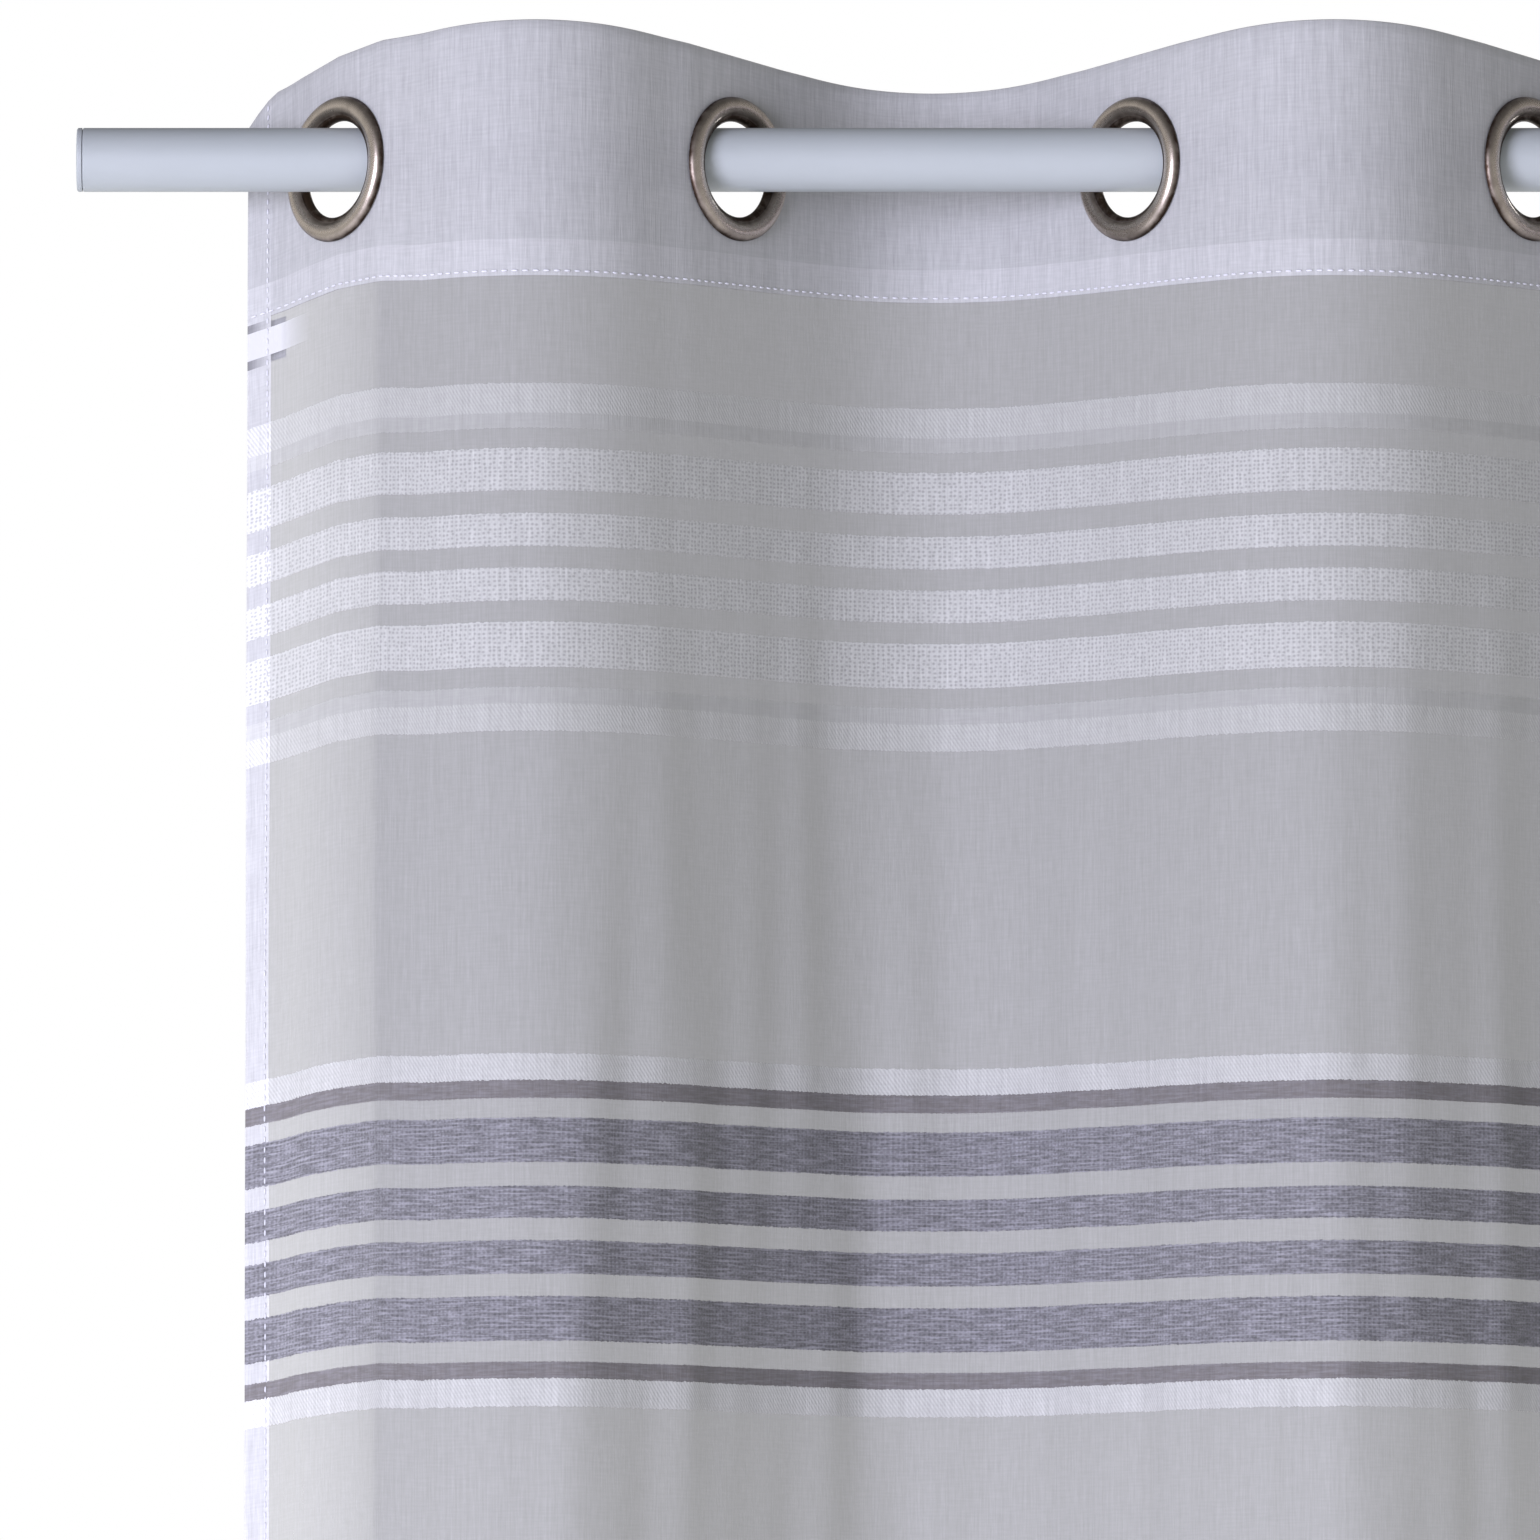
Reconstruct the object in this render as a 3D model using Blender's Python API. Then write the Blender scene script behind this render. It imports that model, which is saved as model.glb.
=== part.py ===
"""An eyelet curtain on a round rod: a sheer striped panel that hangs in even folds from eight metal eyelets.

+X runs along the rod, +Y points to the window and +Z up. The origin is on the rod's axis, half way along it.
The cloth is one corrugated sheet. A place on it is named by two lengths in the flat cloth: `along`, to the
right of the first eyelet's centre, and `up`, above the line through the eyelets' centres.
"""

import math

import bmesh
import bpy
import numpy as np
from mathutils import Matrix, Vector

# Rod
ROD_DIAMETER = 0.025
ROD_WALL = 0.0012
ROD_OVERHANG = 0.070  # rod beyond the cloth's edge at each end
PLUG_FLANGE = 0.002
PLUG_STEM = 0.018
PLUG_FIT = 0.0003  # between the plug and the tube

# Cloth, in the flat
EYELETS = 8
EYELET_SPACING = 0.200
EDGE_MARGIN = 0.050  # from an outer eyelet's centre to the panel's side
TOP_MARGIN = 0.045  # from the eyelets' centres to the top edge
HEADER_DEPTH = 0.0925
DROP = 2.500
SIDE_HEM = 0.012
BOTTOM_HEM = 0.060
CLOTH_THICKNESS = 0.0010
HEADER_THICKNESS = 0.0014  # two layers of cloth with a tape between them
HEM_THICKNESS = 0.0018
LABEL_SIZE = (0.016, 0.016)
LABEL_BELOW_HEADER = 0.020
LABEL_THICKNESS = 0.0006

# Folds
WAVE_ANGLE = math.radians(49)  # between the cloth at an eyelet and the rod
HEADER_LEAN = math.radians(5.5)  # the header leans back to the window
LEAN_BEND = 0.026  # the cloth comes upright again in this length
STRIP_REACH = 0.065  # cloth that moves with an eyelet, each way from its centre
PIVOT_BEYOND_CREST = 0.003  # a fold's hinge line lies this far outside its crest

# Eyelets
LIP_RADIUS = 0.0020  # the rolled lip that rides on the rod
LIP_RUNNING_GAP = 0.0007  # between the lip and the rod, where they bear
LIP_SIDE_PLAY = 0.0006  # spare room for the rod across a slanting eyelet
FLANGE_WIDTH = 0.0096
FRONT_DOME = 0.0031
BACK_DOME = 0.0022
BARREL_WALL = 0.0022
CLAMP_GAP = 0.0003  # between an eyelet half and the cloth
RING_SEGMENTS = 24

# Values worked out from those above
CLOTH_GAP = 0.0003
FACETS_PER_BEND = 4
ROD_RADIUS = ROD_DIAMETER / 2
LIP_REACH = ROD_RADIUS + LIP_RADIUS + LIP_RUNNING_GAP
LIP_CENTRE = (LIP_REACH + LIP_SIDE_PLAY) / math.sin(WAVE_ANGLE)
HOLE_RADIUS = LIP_CENTRE - LIP_RADIUS
RING_RADIUS = HOLE_RADIUS + FLANGE_WIDTH
BARREL_RADIUS = HOLE_RADIUS + BARREL_WALL
CLOTH_HOLE_RADIUS = BARREL_RADIUS + 2 * CLAMP_GAP
CLAMPED = RING_RADIUS + 0.001  # the cloth is flat this far from an eyelet's centre
HEADER_BELOW = HEADER_DEPTH - TOP_MARGIN
PANEL_BELOW = DROP - TOP_MARGIN
LAST_ALONG = (EYELETS - 1) * EYELET_SPACING


def sag_of_eyelet():
    """How far an eyelet's centre hangs below the rod's axis when its lip bears on the rod."""
    across = LIP_CENTRE * math.sin(WAVE_ANGLE)
    return math.sqrt(across**2 - LIP_REACH**2) / math.tan(WAVE_ANGLE)


def wave_angle(along):
    """The cloth's angle to the rod, seen from above: straight at the eyelets, and a smooth bend between them."""
    fold = math.floor(along / EYELET_SPACING)
    inside = (along - fold * EYELET_SPACING - CLAMPED) / (EYELET_SPACING - 2 * CLAMPED)
    turn = math.cos(math.pi * min(max(inside, 0.0), 1.0))
    side = -1 if fold % 2 == 0 else 1
    return side * WAVE_ANGLE * turn


def walk(along_from, along_to, steps=400):
    """The (x, y) travelled along the cloth between two places, by the midpoint rule."""
    length = (along_to - along_from) / steps
    middles = along_from + length * (np.arange(steps) + 0.5)
    angles = np.array([wave_angle(m) for m in middles])
    return np.cos(angles).sum() * length, np.sin(angles).sum() * length


PITCH = walk(0, EYELET_SPACING)[0]  # between eyelets along the rod
CREST = -walk(0, EYELET_SPACING / 2)[1]  # from the rod's axis to a fold's crest
FIRST_EYELET = Vector((-PITCH * (EYELETS - 1) / 2, 0, -sag_of_eyelet()))
CLOTH_EDGE = PITCH * (EYELETS - 1) / 2 + walk(0, EDGE_MARGIN)[0]
ROD_LENGTH = 2 * (CLOTH_EDGE + ROD_OVERHANG)


def spine(up):
    """(y, z, lean) of the sheet's middle line at a height: upright below, leaning back through the header."""
    bend_top = -CLAMPED
    bend_bottom = bend_top - LEAN_BEND
    if up >= bend_top:
        return up * math.sin(HEADER_LEAN), up * math.cos(HEADER_LEAN), HEADER_LEAN
    steps = 24
    reach = max(up, bend_bottom) - bend_top
    middles = [reach * (i + 0.5) / steps for i in range(steps)]
    leans = [HEADER_LEAN * (1 + m / LEAN_BEND) for m in middles]
    y = bend_top * math.sin(HEADER_LEAN) + sum(map(math.sin, leans)) * reach / steps
    z = bend_top * math.cos(HEADER_LEAN) + sum(map(math.cos, leans)) * reach / steps
    return y, z + min(up - bend_bottom, 0.0), HEADER_LEAN * (1 + reach / LEAN_BEND)


def cloth_point(along, up, off=0.0):
    """A point of the hung sheet, `off` in front of its middle surface."""
    x, wave = walk(0, along)
    y, z, lean = spine(up)
    angle = wave_angle(along)
    x += off * math.sin(angle)
    wave -= off * math.cos(angle)
    return FIRST_EYELET + Vector((x, y + wave * math.cos(lean), z - wave * math.sin(lean)))


def places_along(start, end):
    """Sections of a strip: its ends, the ends of the clamped lengths, and even steps through the bends."""
    marks = [start, end]
    for eyelet in range(-1, EYELETS + 1):
        marks += [eyelet * EYELET_SPACING - CLAMPED, eyelet * EYELET_SPACING + CLAMPED]
    marks = sorted(m for m in marks if start <= m <= end)
    places = [start]
    for a, b in zip(marks, marks[1:]):
        if b - a < CLOTH_GAP:
            continue
        straight = abs(wave_angle(a) - wave_angle(b)) < 1e-6 and b - a < 2.1 * CLAMPED
        count = 1 if straight else FACETS_PER_BEND
        places += [a + (b - a) * (i + 1) / count for i in range(count)]
    return places


def new_material(name, colour, roughness, metallic=0.0, alpha=1.0):
    material = bpy.data.materials.new(name)
    material.use_nodes = True
    shader = material.node_tree.nodes["Principled BSDF"]
    shader.inputs["Base Color"].default_value = (*colour, 1)
    shader.inputs["Roughness"].default_value = roughness
    shader.inputs["Metallic"].default_value = metallic
    shader.inputs["Alpha"].default_value = alpha
    return material


def add_object(name, bm, material, pivot):
    """A mesh object whose origin is its hinge's empty; bm holds world positions."""
    bmesh.ops.recalc_face_normals(bm, faces=bm.faces)
    bmesh.ops.translate(bm, verts=bm.verts, vec=-pivot.location)
    mesh = bpy.data.meshes.new(name)
    bm.to_mesh(mesh)
    bm.free()
    mesh.materials.append(material)
    mesh.shade_smooth()
    mesh.set_sharp_from_angle(angle=math.radians(35))
    piece = bpy.data.objects.new(name, mesh)
    bpy.context.scene.collection.objects.link(piece)
    piece.parent = pivot
    return piece


def add_pivot(name, location):
    pivot = bpy.data.objects.new(name, None)
    pivot.location = location
    bpy.context.scene.collection.objects.link(pivot)
    return pivot


def turned(bm, outline, frame, segments):
    """A ring turned about the frame's z axis from a closed outline of (radius, height) points."""
    rings = []
    for step in range(segments):
        turn = Matrix.Rotation(2 * math.pi * step / segments, 4, "Z")
        rings.append([bm.verts.new(frame @ turn @ Vector((r, 0, h))) for r, h in outline])
    for ring, after in zip(rings, rings[1:] + rings[:1]):
        for i in range(len(outline)):
            j = (i + 1) % len(outline)
            bm.faces.new((ring[i], ring[j], after[j], after[i]))


def sheet_solid(start, end, heights, thickness):
    """A closed strip of cloth. heights are places up the cloth; thickness gives each row's full thickness."""
    bm = bmesh.new()
    places = places_along(start, end)
    grids = []
    for side in (0.5, -0.5):
        rows = zip(heights, thickness)
        grids.append([[bm.verts.new(cloth_point(a, u, side * t)) for a in places] for u, t in rows])
    front, back = grids
    last_row = len(heights) - 1
    last_place = len(places) - 1
    for i in range(last_row):
        for j in range(last_place):
            for grid in grids:
                corners = (grid[i][j], grid[i][j + 1], grid[i + 1][j + 1], grid[i + 1][j])
                bm.faces.new(corners)
        for j in (0, last_place):
            bm.faces.new((front[i][j], front[i + 1][j], back[i + 1][j], back[i][j]))
    for i in (0, last_row):
        for j in range(last_place):
            bm.faces.new((front[i][j], front[i][j + 1], back[i][j + 1], back[i][j]))
    return bm


def header_rows():
    """Rows of the header from its top edge down, close enough to follow the bend below the eyelets."""
    bend = [-CLAMPED - LEAN_BEND * i / 3 for i in range(3)]
    return [TOP_MARGIN, *[u for u in bend if u > -HEADER_BELOW + CLOTH_GAP], -HEADER_BELOW]


def skirt_rows():
    """(height, thickness) rows below the header: the bend's end, the plain drop and the turned-up bottom hem."""
    hem_top = BOTTOM_HEM - PANEL_BELOW
    bend_end = min(-CLAMPED - LEAN_BEND, -HEADER_BELOW - 2 * CLOTH_GAP)
    return (
        (-HEADER_BELOW - CLOTH_GAP, bend_end, hem_top, hem_top - HEM_THICKNESS, -PANEL_BELOW),
        (CLOTH_THICKNESS, CLOTH_THICKNESS, CLOTH_THICKNESS, HEM_THICKNESS, HEM_THICKNESS),
    )


def eyelet_frame(number):
    """Axes of an eyelet: x along the cloth, y up it, z out of its front, at the ring's centre."""
    along = (number - 1) * EYELET_SPACING
    angle = wave_angle(along)
    lean = HEADER_LEAN
    sideways = Vector((math.cos(angle), math.sin(angle) * math.cos(lean), -math.sin(angle) * math.sin(lean)))
    upward = Vector((0, math.sin(lean), math.cos(lean)))
    outward = sideways.cross(upward)
    frame = Matrix((sideways, upward, outward)).transposed().to_4x4()
    frame.translation = cloth_point(along, 0)
    return frame


def pivot_place(number):
    """The hinge line of an eyelet's strip: on the rod for the first, and at the fold before it for the rest."""
    if number == 1:
        return Vector((FIRST_EYELET.x, 0, 0))
    side = -1 if number % 2 == 0 else 1
    x = FIRST_EYELET.x + (number - 1.5) * PITCH
    return Vector((x, side * (CREST + PIVOT_BEYOND_CREST), 0))


def make_rod(material, plug_material):
    """The tube, and a flush plug in each of its ends."""
    centre = add_pivot("rod_centre", Vector((0, 0, 0)))
    tube_half = ROD_LENGTH / 2 - PLUG_FLANGE - PLUG_FIT
    inner = ROD_RADIUS - ROD_WALL
    outline = [(ROD_RADIUS, -tube_half), (ROD_RADIUS, tube_half), (inner, tube_half), (inner, -tube_half)]
    bm = bmesh.new()
    turned(bm, outline, Matrix.Rotation(math.pi / 2, 4, "Y"), 36)
    add_object("rod_tube", bm, material, centre)
    for name, facing in (("end_plug_left", -1), ("end_plug_right", 1)):
        frame = Matrix.Rotation(facing * math.pi / 2, 4, "Y")
        bm = bmesh.new()
        flange = Matrix.Translation((0, 0, ROD_LENGTH / 2 - PLUG_FLANGE / 2))
        add_disc(bm, ROD_RADIUS, PLUG_FLANGE, frame @ flange)
        plug = add_object(name, bm, plug_material, centre)
        stem = bmesh.new()
        depth = PLUG_STEM + PLUG_FLANGE / 2
        place = Matrix.Translation((0, 0, ROD_LENGTH / 2 - PLUG_FLANGE / 2 - depth / 2))
        add_disc(stem, inner - PLUG_FIT, depth, frame @ place)
        join(plug, hidden_helper(name + "_stem", stem), "UNION")


def add_disc(bm, radius, length, frame):
    bmesh.ops.create_cone(
        bm, cap_ends=True, segments=36, radius1=radius, radius2=radius, depth=length, matrix=frame
    )


def hidden_helper(name, bm):
    """A shape that only cuts or joins: out of renders, drawn as wire."""
    bmesh.ops.recalc_face_normals(bm, faces=bm.faces)
    mesh = bpy.data.meshes.new(name)
    bm.to_mesh(mesh)
    bm.free()
    helper = bpy.data.objects.new(name, mesh)
    bpy.context.scene.collection.objects.link(helper)
    helper.hide_render = True
    helper.display_type = "WIRE"
    return helper


def join(piece, helper, operation):
    modifier = piece.modifiers.new(helper.name, "BOOLEAN")
    modifier.operation = operation
    modifier.solver = "EXACT"
    modifier.object = helper


def make_eyelet(number, material, pivot):
    """The front half, with its barrel and rolled lip, and the back washer: they clamp the header between them."""
    frame = eyelet_frame(number)
    face = HEADER_THICKNESS / 2 + CLAMP_GAP
    lip = [
        (LIP_CENTRE - LIP_RADIUS * math.sin(turn), LIP_RADIUS * math.cos(turn))
        for turn in np.radians([35, 90, 145])
    ]
    mid = (BARREL_RADIUS + RING_RADIUS) / 2
    front = [
        (BARREL_RADIUS, face),
        (RING_RADIUS - 0.0003, face),
        (RING_RADIUS, face + 0.25 * FRONT_DOME),
        (RING_RADIUS - 0.18 * FLANGE_WIDTH, face + 0.80 * FRONT_DOME),
        (mid, face + FRONT_DOME),
        (BARREL_RADIUS, face + 0.75 * FRONT_DOME),
        *lip,
        (BARREL_RADIUS, -LIP_RADIUS),
    ]
    bore = BARREL_RADIUS + CLAMP_GAP
    back = [
        (bore, -face),
        (RING_RADIUS - 0.0003, -face),
        (RING_RADIUS, -face - 0.3 * BACK_DOME),
        (mid + 0.002, -face - BACK_DOME),
        (bore, -face - 0.8 * BACK_DOME),
    ]
    for side, outline in (("front", front), ("back", back)):
        bm = bmesh.new()
        turned(bm, outline, frame, RING_SEGMENTS)
        add_object(f"eyelet_{number}_{side}", bm, material, pivot)


def make_strip(number, materials, pivot):
    """The cloth that turns with one eyelet: its piece of the header, with the hole, and of the skirt below."""
    centre = (number - 1) * EYELET_SPACING
    start = centre - STRIP_REACH if number > 1 else SIDE_HEM - EDGE_MARGIN
    end = centre + STRIP_REACH if number < EYELETS else LAST_ALONG + EDGE_MARGIN - SIDE_HEM
    start += CLOTH_GAP / 2
    end -= CLOTH_GAP / 2
    rows = header_rows()
    bm = sheet_solid(start, end, rows, [HEADER_THICKNESS] * len(rows))
    header = add_object(f"header_{number}", bm, materials["header"], pivot)
    hole = bmesh.new()
    bmesh.ops.create_cone(
        hole,
        cap_ends=True,
        segments=RING_SEGMENTS,
        radius1=CLOTH_HOLE_RADIUS,
        radius2=CLOTH_HOLE_RADIUS,
        depth=10 * HEADER_THICKNESS,
        matrix=eyelet_frame(number),
    )
    join(header, hidden_helper(f"hole_cutter_{number}", hole), "DIFFERENCE")
    add_object(f"skirt_{number}", sheet_solid(start, end, *skirt_rows()), materials["cloth"], pivot)


def make_fold(number, materials, pivot):
    """The cloth between two strips, which bends as the folds close. It is named for the strip before it."""
    start = (number - 1) * EYELET_SPACING + STRIP_REACH + CLOTH_GAP / 2
    end = number * EYELET_SPACING - STRIP_REACH - CLOTH_GAP / 2
    rows = header_rows()
    bm = sheet_solid(start, end, rows, [HEADER_THICKNESS] * len(rows))
    add_object(f"header_fold_{number}", bm, materials["header"], pivot)
    add_object(f"skirt_fold_{number}", sheet_solid(start, end, *skirt_rows()), materials["cloth"], pivot)


def make_side_hem(name, outer, inner, material, pivot):
    """The folded edge, stitched down from top to bottom, between two places along the cloth."""
    low, high = sorted((outer, inner))
    rows = [*header_rows(), *skirt_rows()[0][1:2], -PANEL_BELOW]
    add_object(name, sheet_solid(low, high, rows, [HEM_THICKNESS] * len(rows)), material, pivot)


def make_label(material, pivot):
    """A blank woven tab caught in the left seam, on the window side of the hem."""
    width, height = LABEL_SIZE
    top = -HEADER_BELOW - LABEL_BELOW_HEADER
    start = -EDGE_MARGIN
    bm = bmesh.new()
    near = -CLOTH_GAP - HEM_THICKNESS / 2
    grids = []
    for off in (near, near - LABEL_THICKNESS):
        corners = [(start, top), (start + width, top), (start + width, top - height), (start, top - height)]
        grids.append([bm.verts.new(cloth_point(a, u, off)) for a, u in corners])
    near_face, far_face = grids
    bm.faces.new(near_face)
    bm.faces.new(far_face)
    for i in range(4):
        j = (i + 1) % 4
        bm.faces.new((near_face[i], near_face[j], far_face[j], far_face[i]))
    add_object("care_label", bm, material, pivot)


def main():
    for old in list(bpy.data.objects):
        bpy.data.objects.remove(old, do_unlink=True)
    paint = new_material("rod_paint", (0.56, 0.60, 0.66), 0.35)
    plastic = new_material("plug_plastic", (0.52, 0.56, 0.61), 0.5)
    nickel = new_material("eyelet_nickel", (0.30, 0.26, 0.23), 0.3, metallic=1.0)
    label = new_material("label_cloth", (0.85, 0.85, 0.90), 0.8)
    materials = {
        "header": new_material("header_cloth", (0.62, 0.62, 0.68), 0.9),
        "cloth": new_material("sheer_cloth", (0.58, 0.58, 0.64), 0.9, alpha=0.85),
        "hem": new_material("hem_cloth", (0.68, 0.68, 0.74), 0.9),
    }
    make_rod(paint, plastic)
    gap = CLOTH_GAP / 2
    right_edge = LAST_ALONG + EDGE_MARGIN
    for number in range(1, EYELETS + 1):
        pivot = add_pivot(f"hinge_{number}", pivot_place(number))
        make_eyelet(number, nickel, pivot)
        make_strip(number, materials, pivot)
        if number < EYELETS:
            make_fold(number, materials, pivot)
        if number == 1:
            make_side_hem("side_hem_left", -EDGE_MARGIN, SIDE_HEM - EDGE_MARGIN - gap, materials["hem"], pivot)
            make_label(label, pivot)
        if number == EYELETS:
            make_side_hem("side_hem_right", right_edge, right_edge - SIDE_HEM + gap, materials["hem"], pivot)


main()
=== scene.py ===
# %% [markdown]
# # A sheer eyelet curtain on a round rod
# The panel is one long piece of light cloth. Eight metal eyelets are clamped through its header, and the rod
# passes in and out of them, so that the cloth has to swing to the front and to the back in even folds.
#
# The moving frame of the model comes ready made: rods, rings and hinges, each with its place. This lesson
# puts the real surfaces on it: the cloth with its woven bands, its turned hems and its stitches, the rolled
# metal of the eyelets, and the painted rod. We work in metres, with +X along the rod, +Y to the window and
# +Z up, and the origin on the rod's axis.

# %% Load the frame
import math

import bmesh
import bpy
import numpy as np
from mathutils import Matrix, Vector


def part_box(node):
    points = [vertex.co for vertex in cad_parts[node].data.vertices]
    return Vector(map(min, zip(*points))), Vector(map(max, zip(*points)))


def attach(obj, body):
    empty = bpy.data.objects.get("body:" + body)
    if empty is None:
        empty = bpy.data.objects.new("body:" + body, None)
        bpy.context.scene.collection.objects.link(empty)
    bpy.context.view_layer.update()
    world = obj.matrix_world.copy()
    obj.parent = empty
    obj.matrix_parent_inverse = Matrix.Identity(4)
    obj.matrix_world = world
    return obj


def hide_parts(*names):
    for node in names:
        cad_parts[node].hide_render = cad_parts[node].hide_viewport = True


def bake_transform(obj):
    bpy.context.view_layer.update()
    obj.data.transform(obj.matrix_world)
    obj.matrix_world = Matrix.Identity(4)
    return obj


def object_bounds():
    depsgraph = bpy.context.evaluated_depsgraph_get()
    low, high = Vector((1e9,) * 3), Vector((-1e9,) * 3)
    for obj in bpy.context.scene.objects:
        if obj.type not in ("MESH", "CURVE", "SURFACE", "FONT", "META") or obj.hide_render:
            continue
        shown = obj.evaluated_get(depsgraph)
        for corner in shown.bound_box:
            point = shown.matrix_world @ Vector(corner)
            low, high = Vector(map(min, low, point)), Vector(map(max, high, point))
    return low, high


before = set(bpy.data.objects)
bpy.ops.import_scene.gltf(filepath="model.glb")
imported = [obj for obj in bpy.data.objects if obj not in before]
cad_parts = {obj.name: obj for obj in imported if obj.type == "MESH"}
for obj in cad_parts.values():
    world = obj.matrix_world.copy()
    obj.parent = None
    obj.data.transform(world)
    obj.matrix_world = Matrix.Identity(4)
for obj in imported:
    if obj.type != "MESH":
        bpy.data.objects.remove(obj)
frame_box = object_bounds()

# %% [markdown]
# ## Where the eyelets are
# A ring's box gives its centre, and the first and last rings give the fold pitch, so nothing has to be
# measured again.
# The folds are the same length in the flat cloth, because the eyelets are punched at an even spacing.

# %% Read the eyelets' places
EYELETS = sum(node.startswith("eyelet_") and node.endswith("_front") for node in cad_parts)


def middle(node):
    low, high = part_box(node)
    return (low + high) / 2


FIRST_X = middle("eyelet_1_front").x
PITCH = (middle(f"eyelet_{EYELETS}_front").x - FIRST_X) / (EYELETS - 1)
PANEL_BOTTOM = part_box("skirt_1")[0].z
print(f"{EYELETS} eyelets, {1000 * PITCH:.1f} mm apart on the rod; the hem hangs at {PANEL_BOTTOM:.3f} m")

# %% [markdown]
# ## The cloth as a map
# A curtain maker thinks of the cloth lying flat on a table, and so do we. A place on it has two lengths:
# `along`, to the right of the first eyelet, and `up`, above the line of the eyelets' centres. One function
# then says where that place is once the cloth hangs. Seams, stitches and the woven pattern all use the
# same map, so they stay in the cloth whatever shape it takes.
#
# Seen from above, the cloth crosses the rod at a fixed angle at each eyelet, where the metal holds it flat,
# and turns smoothly to the opposite angle at the next one. Adding up short steps along the cloth, each in
# its own direction, gives the wave.

# %% Sizes of the panel, in metres
SPACING = 0.200  # between eyelets, in the flat cloth
EDGE_MARGIN = 0.050  # from an outer eyelet's centre to the side
TOP_MARGIN = 0.045
HEADER_BELOW = 0.0475  # from the eyelets' centres to the header's stitch line
PANEL_BELOW = 2.455
SIDE_HEM = 0.0105
BOTTOM_HEM = 0.060
TURN_IN = 0.0136  # the header's raw edge, folded under
WAVE_ANGLE = math.radians(49)
HEADER_LEAN = math.radians(5.5)  # the header leans back to the window
LEAN_BEND = 0.026  # and comes upright again over this length
EDGE_RELAX = 0.5  # past the last patch the free edge turns back by this share of the angle
CLAMPED = 0.0295  # the metal holds the cloth flat this far from an eyelet's centre
LAST_ALONG = (EYELETS - 1) * SPACING
PANEL_WIDTH = LAST_ALONG + 2 * EDGE_MARGIN


def wave_angle(along):
    """The cloth's angle to the rod, seen from above."""
    fold = np.floor(along / SPACING)
    inside = (along - fold * SPACING - CLAMPED) / (SPACING - 2 * CLAMPED)
    turn = np.cos(np.pi * np.clip(inside, 0, 1))
    past = np.maximum(-along, along - LAST_ALONG) - CLAMPED
    free = 1 - EDGE_RELAX * np.clip(past / (EDGE_MARGIN - CLAMPED), 0, 1.5)
    return np.where(fold % 2 == 0, -1, 1) * WAVE_ANGLE * turn * free


STEP = 0.00025
TABLE_ALONG = np.arange(-0.06, LAST_ALONG + 0.06, STEP)
TABLE_ANGLE = wave_angle(TABLE_ALONG + STEP / 2)
TABLE_X = np.concatenate([[0], np.cumsum(np.cos(TABLE_ANGLE) * STEP)[:-1]])
TABLE_Y = np.concatenate([[0], np.cumsum(np.sin(TABLE_ANGLE) * STEP)[:-1]])
TABLE_X -= np.interp(0, TABLE_ALONG, TABLE_X)
TABLE_Y -= np.interp(0, TABLE_ALONG, TABLE_Y)
print(f"the wave repeats every {1000 * np.interp(SPACING, TABLE_ALONG, TABLE_X):.1f} mm of rod")

# %% [markdown]
# The header is stiff and leans back a little, and below it the cloth bends upright again and hangs straight.
# The bend is an arc, which has an exact formula. A pleated header also splays: its front crests rise and its
# back ones sink, most at the top edge. Past the outer eyelets nothing holds the cloth up, so each side edge
# sags by up to a centimetre, and the top corner, which has no tape in it, curls over.

# %% Hang the cloth
EYELET_Z = -0.00375  # the rings bear on the rod, so their centres lie just under its axis
SPLAY = ((-0.0475, 0.0), (-0.034, 0.012), (0.0, 0.065), (0.045, 0.148))  # (up, rise by depth of wave)
EDGE_SAG = ((-0.050, 0.0103), (-0.044, 0.0087), (-0.023, 0.0042), (0.0, 0.0), (0.026, -0.0014), (0.05, 0.0))
SAG_FADES = ((-PANEL_BELOW, 0.0), (-0.45, 0.57), (-0.10, 1.0))
CORNER_CURL = 0.0095
CORNER_REACH = 0.0135


def from_list(value, pairs):
    """A value looked up in a list of (value, result) pairs, with straight lines between them."""
    values, results = zip(*pairs)
    return np.interp(value, values, results)


def sag(along, up):
    """How far the cloth near a side edge hangs below its place."""
    inward = np.minimum(along, LAST_ALONG - along)
    corner = np.clip((-inward - EDGE_MARGIN + CORNER_REACH) / CORNER_REACH, 0, 1) ** 1.5
    curl = CORNER_CURL * corner * np.clip(up / TOP_MARGIN, 0, 1) ** 1.5
    return from_list(inward, EDGE_SAG) * from_list(up, SAG_FADES) + curl


def upright(up):
    """(y, z, lean) of the cloth's middle line at a height."""
    bend_top = -CLAMPED
    reach = np.clip(up - bend_top, -LEAN_BEND, 0)
    lean = HEADER_LEAN * (1 + reach / LEAN_BEND)
    radius = LEAN_BEND / HEADER_LEAN
    in_header = np.maximum(up, bend_top)
    y = in_header * math.sin(HEADER_LEAN) - radius * (np.cos(lean) - math.cos(HEADER_LEAN))
    z = in_header * math.cos(HEADER_LEAN) + radius * (np.sin(lean) - math.sin(HEADER_LEAN))
    return y, z + np.minimum(up - bend_top + LEAN_BEND, 0), lean


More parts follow.
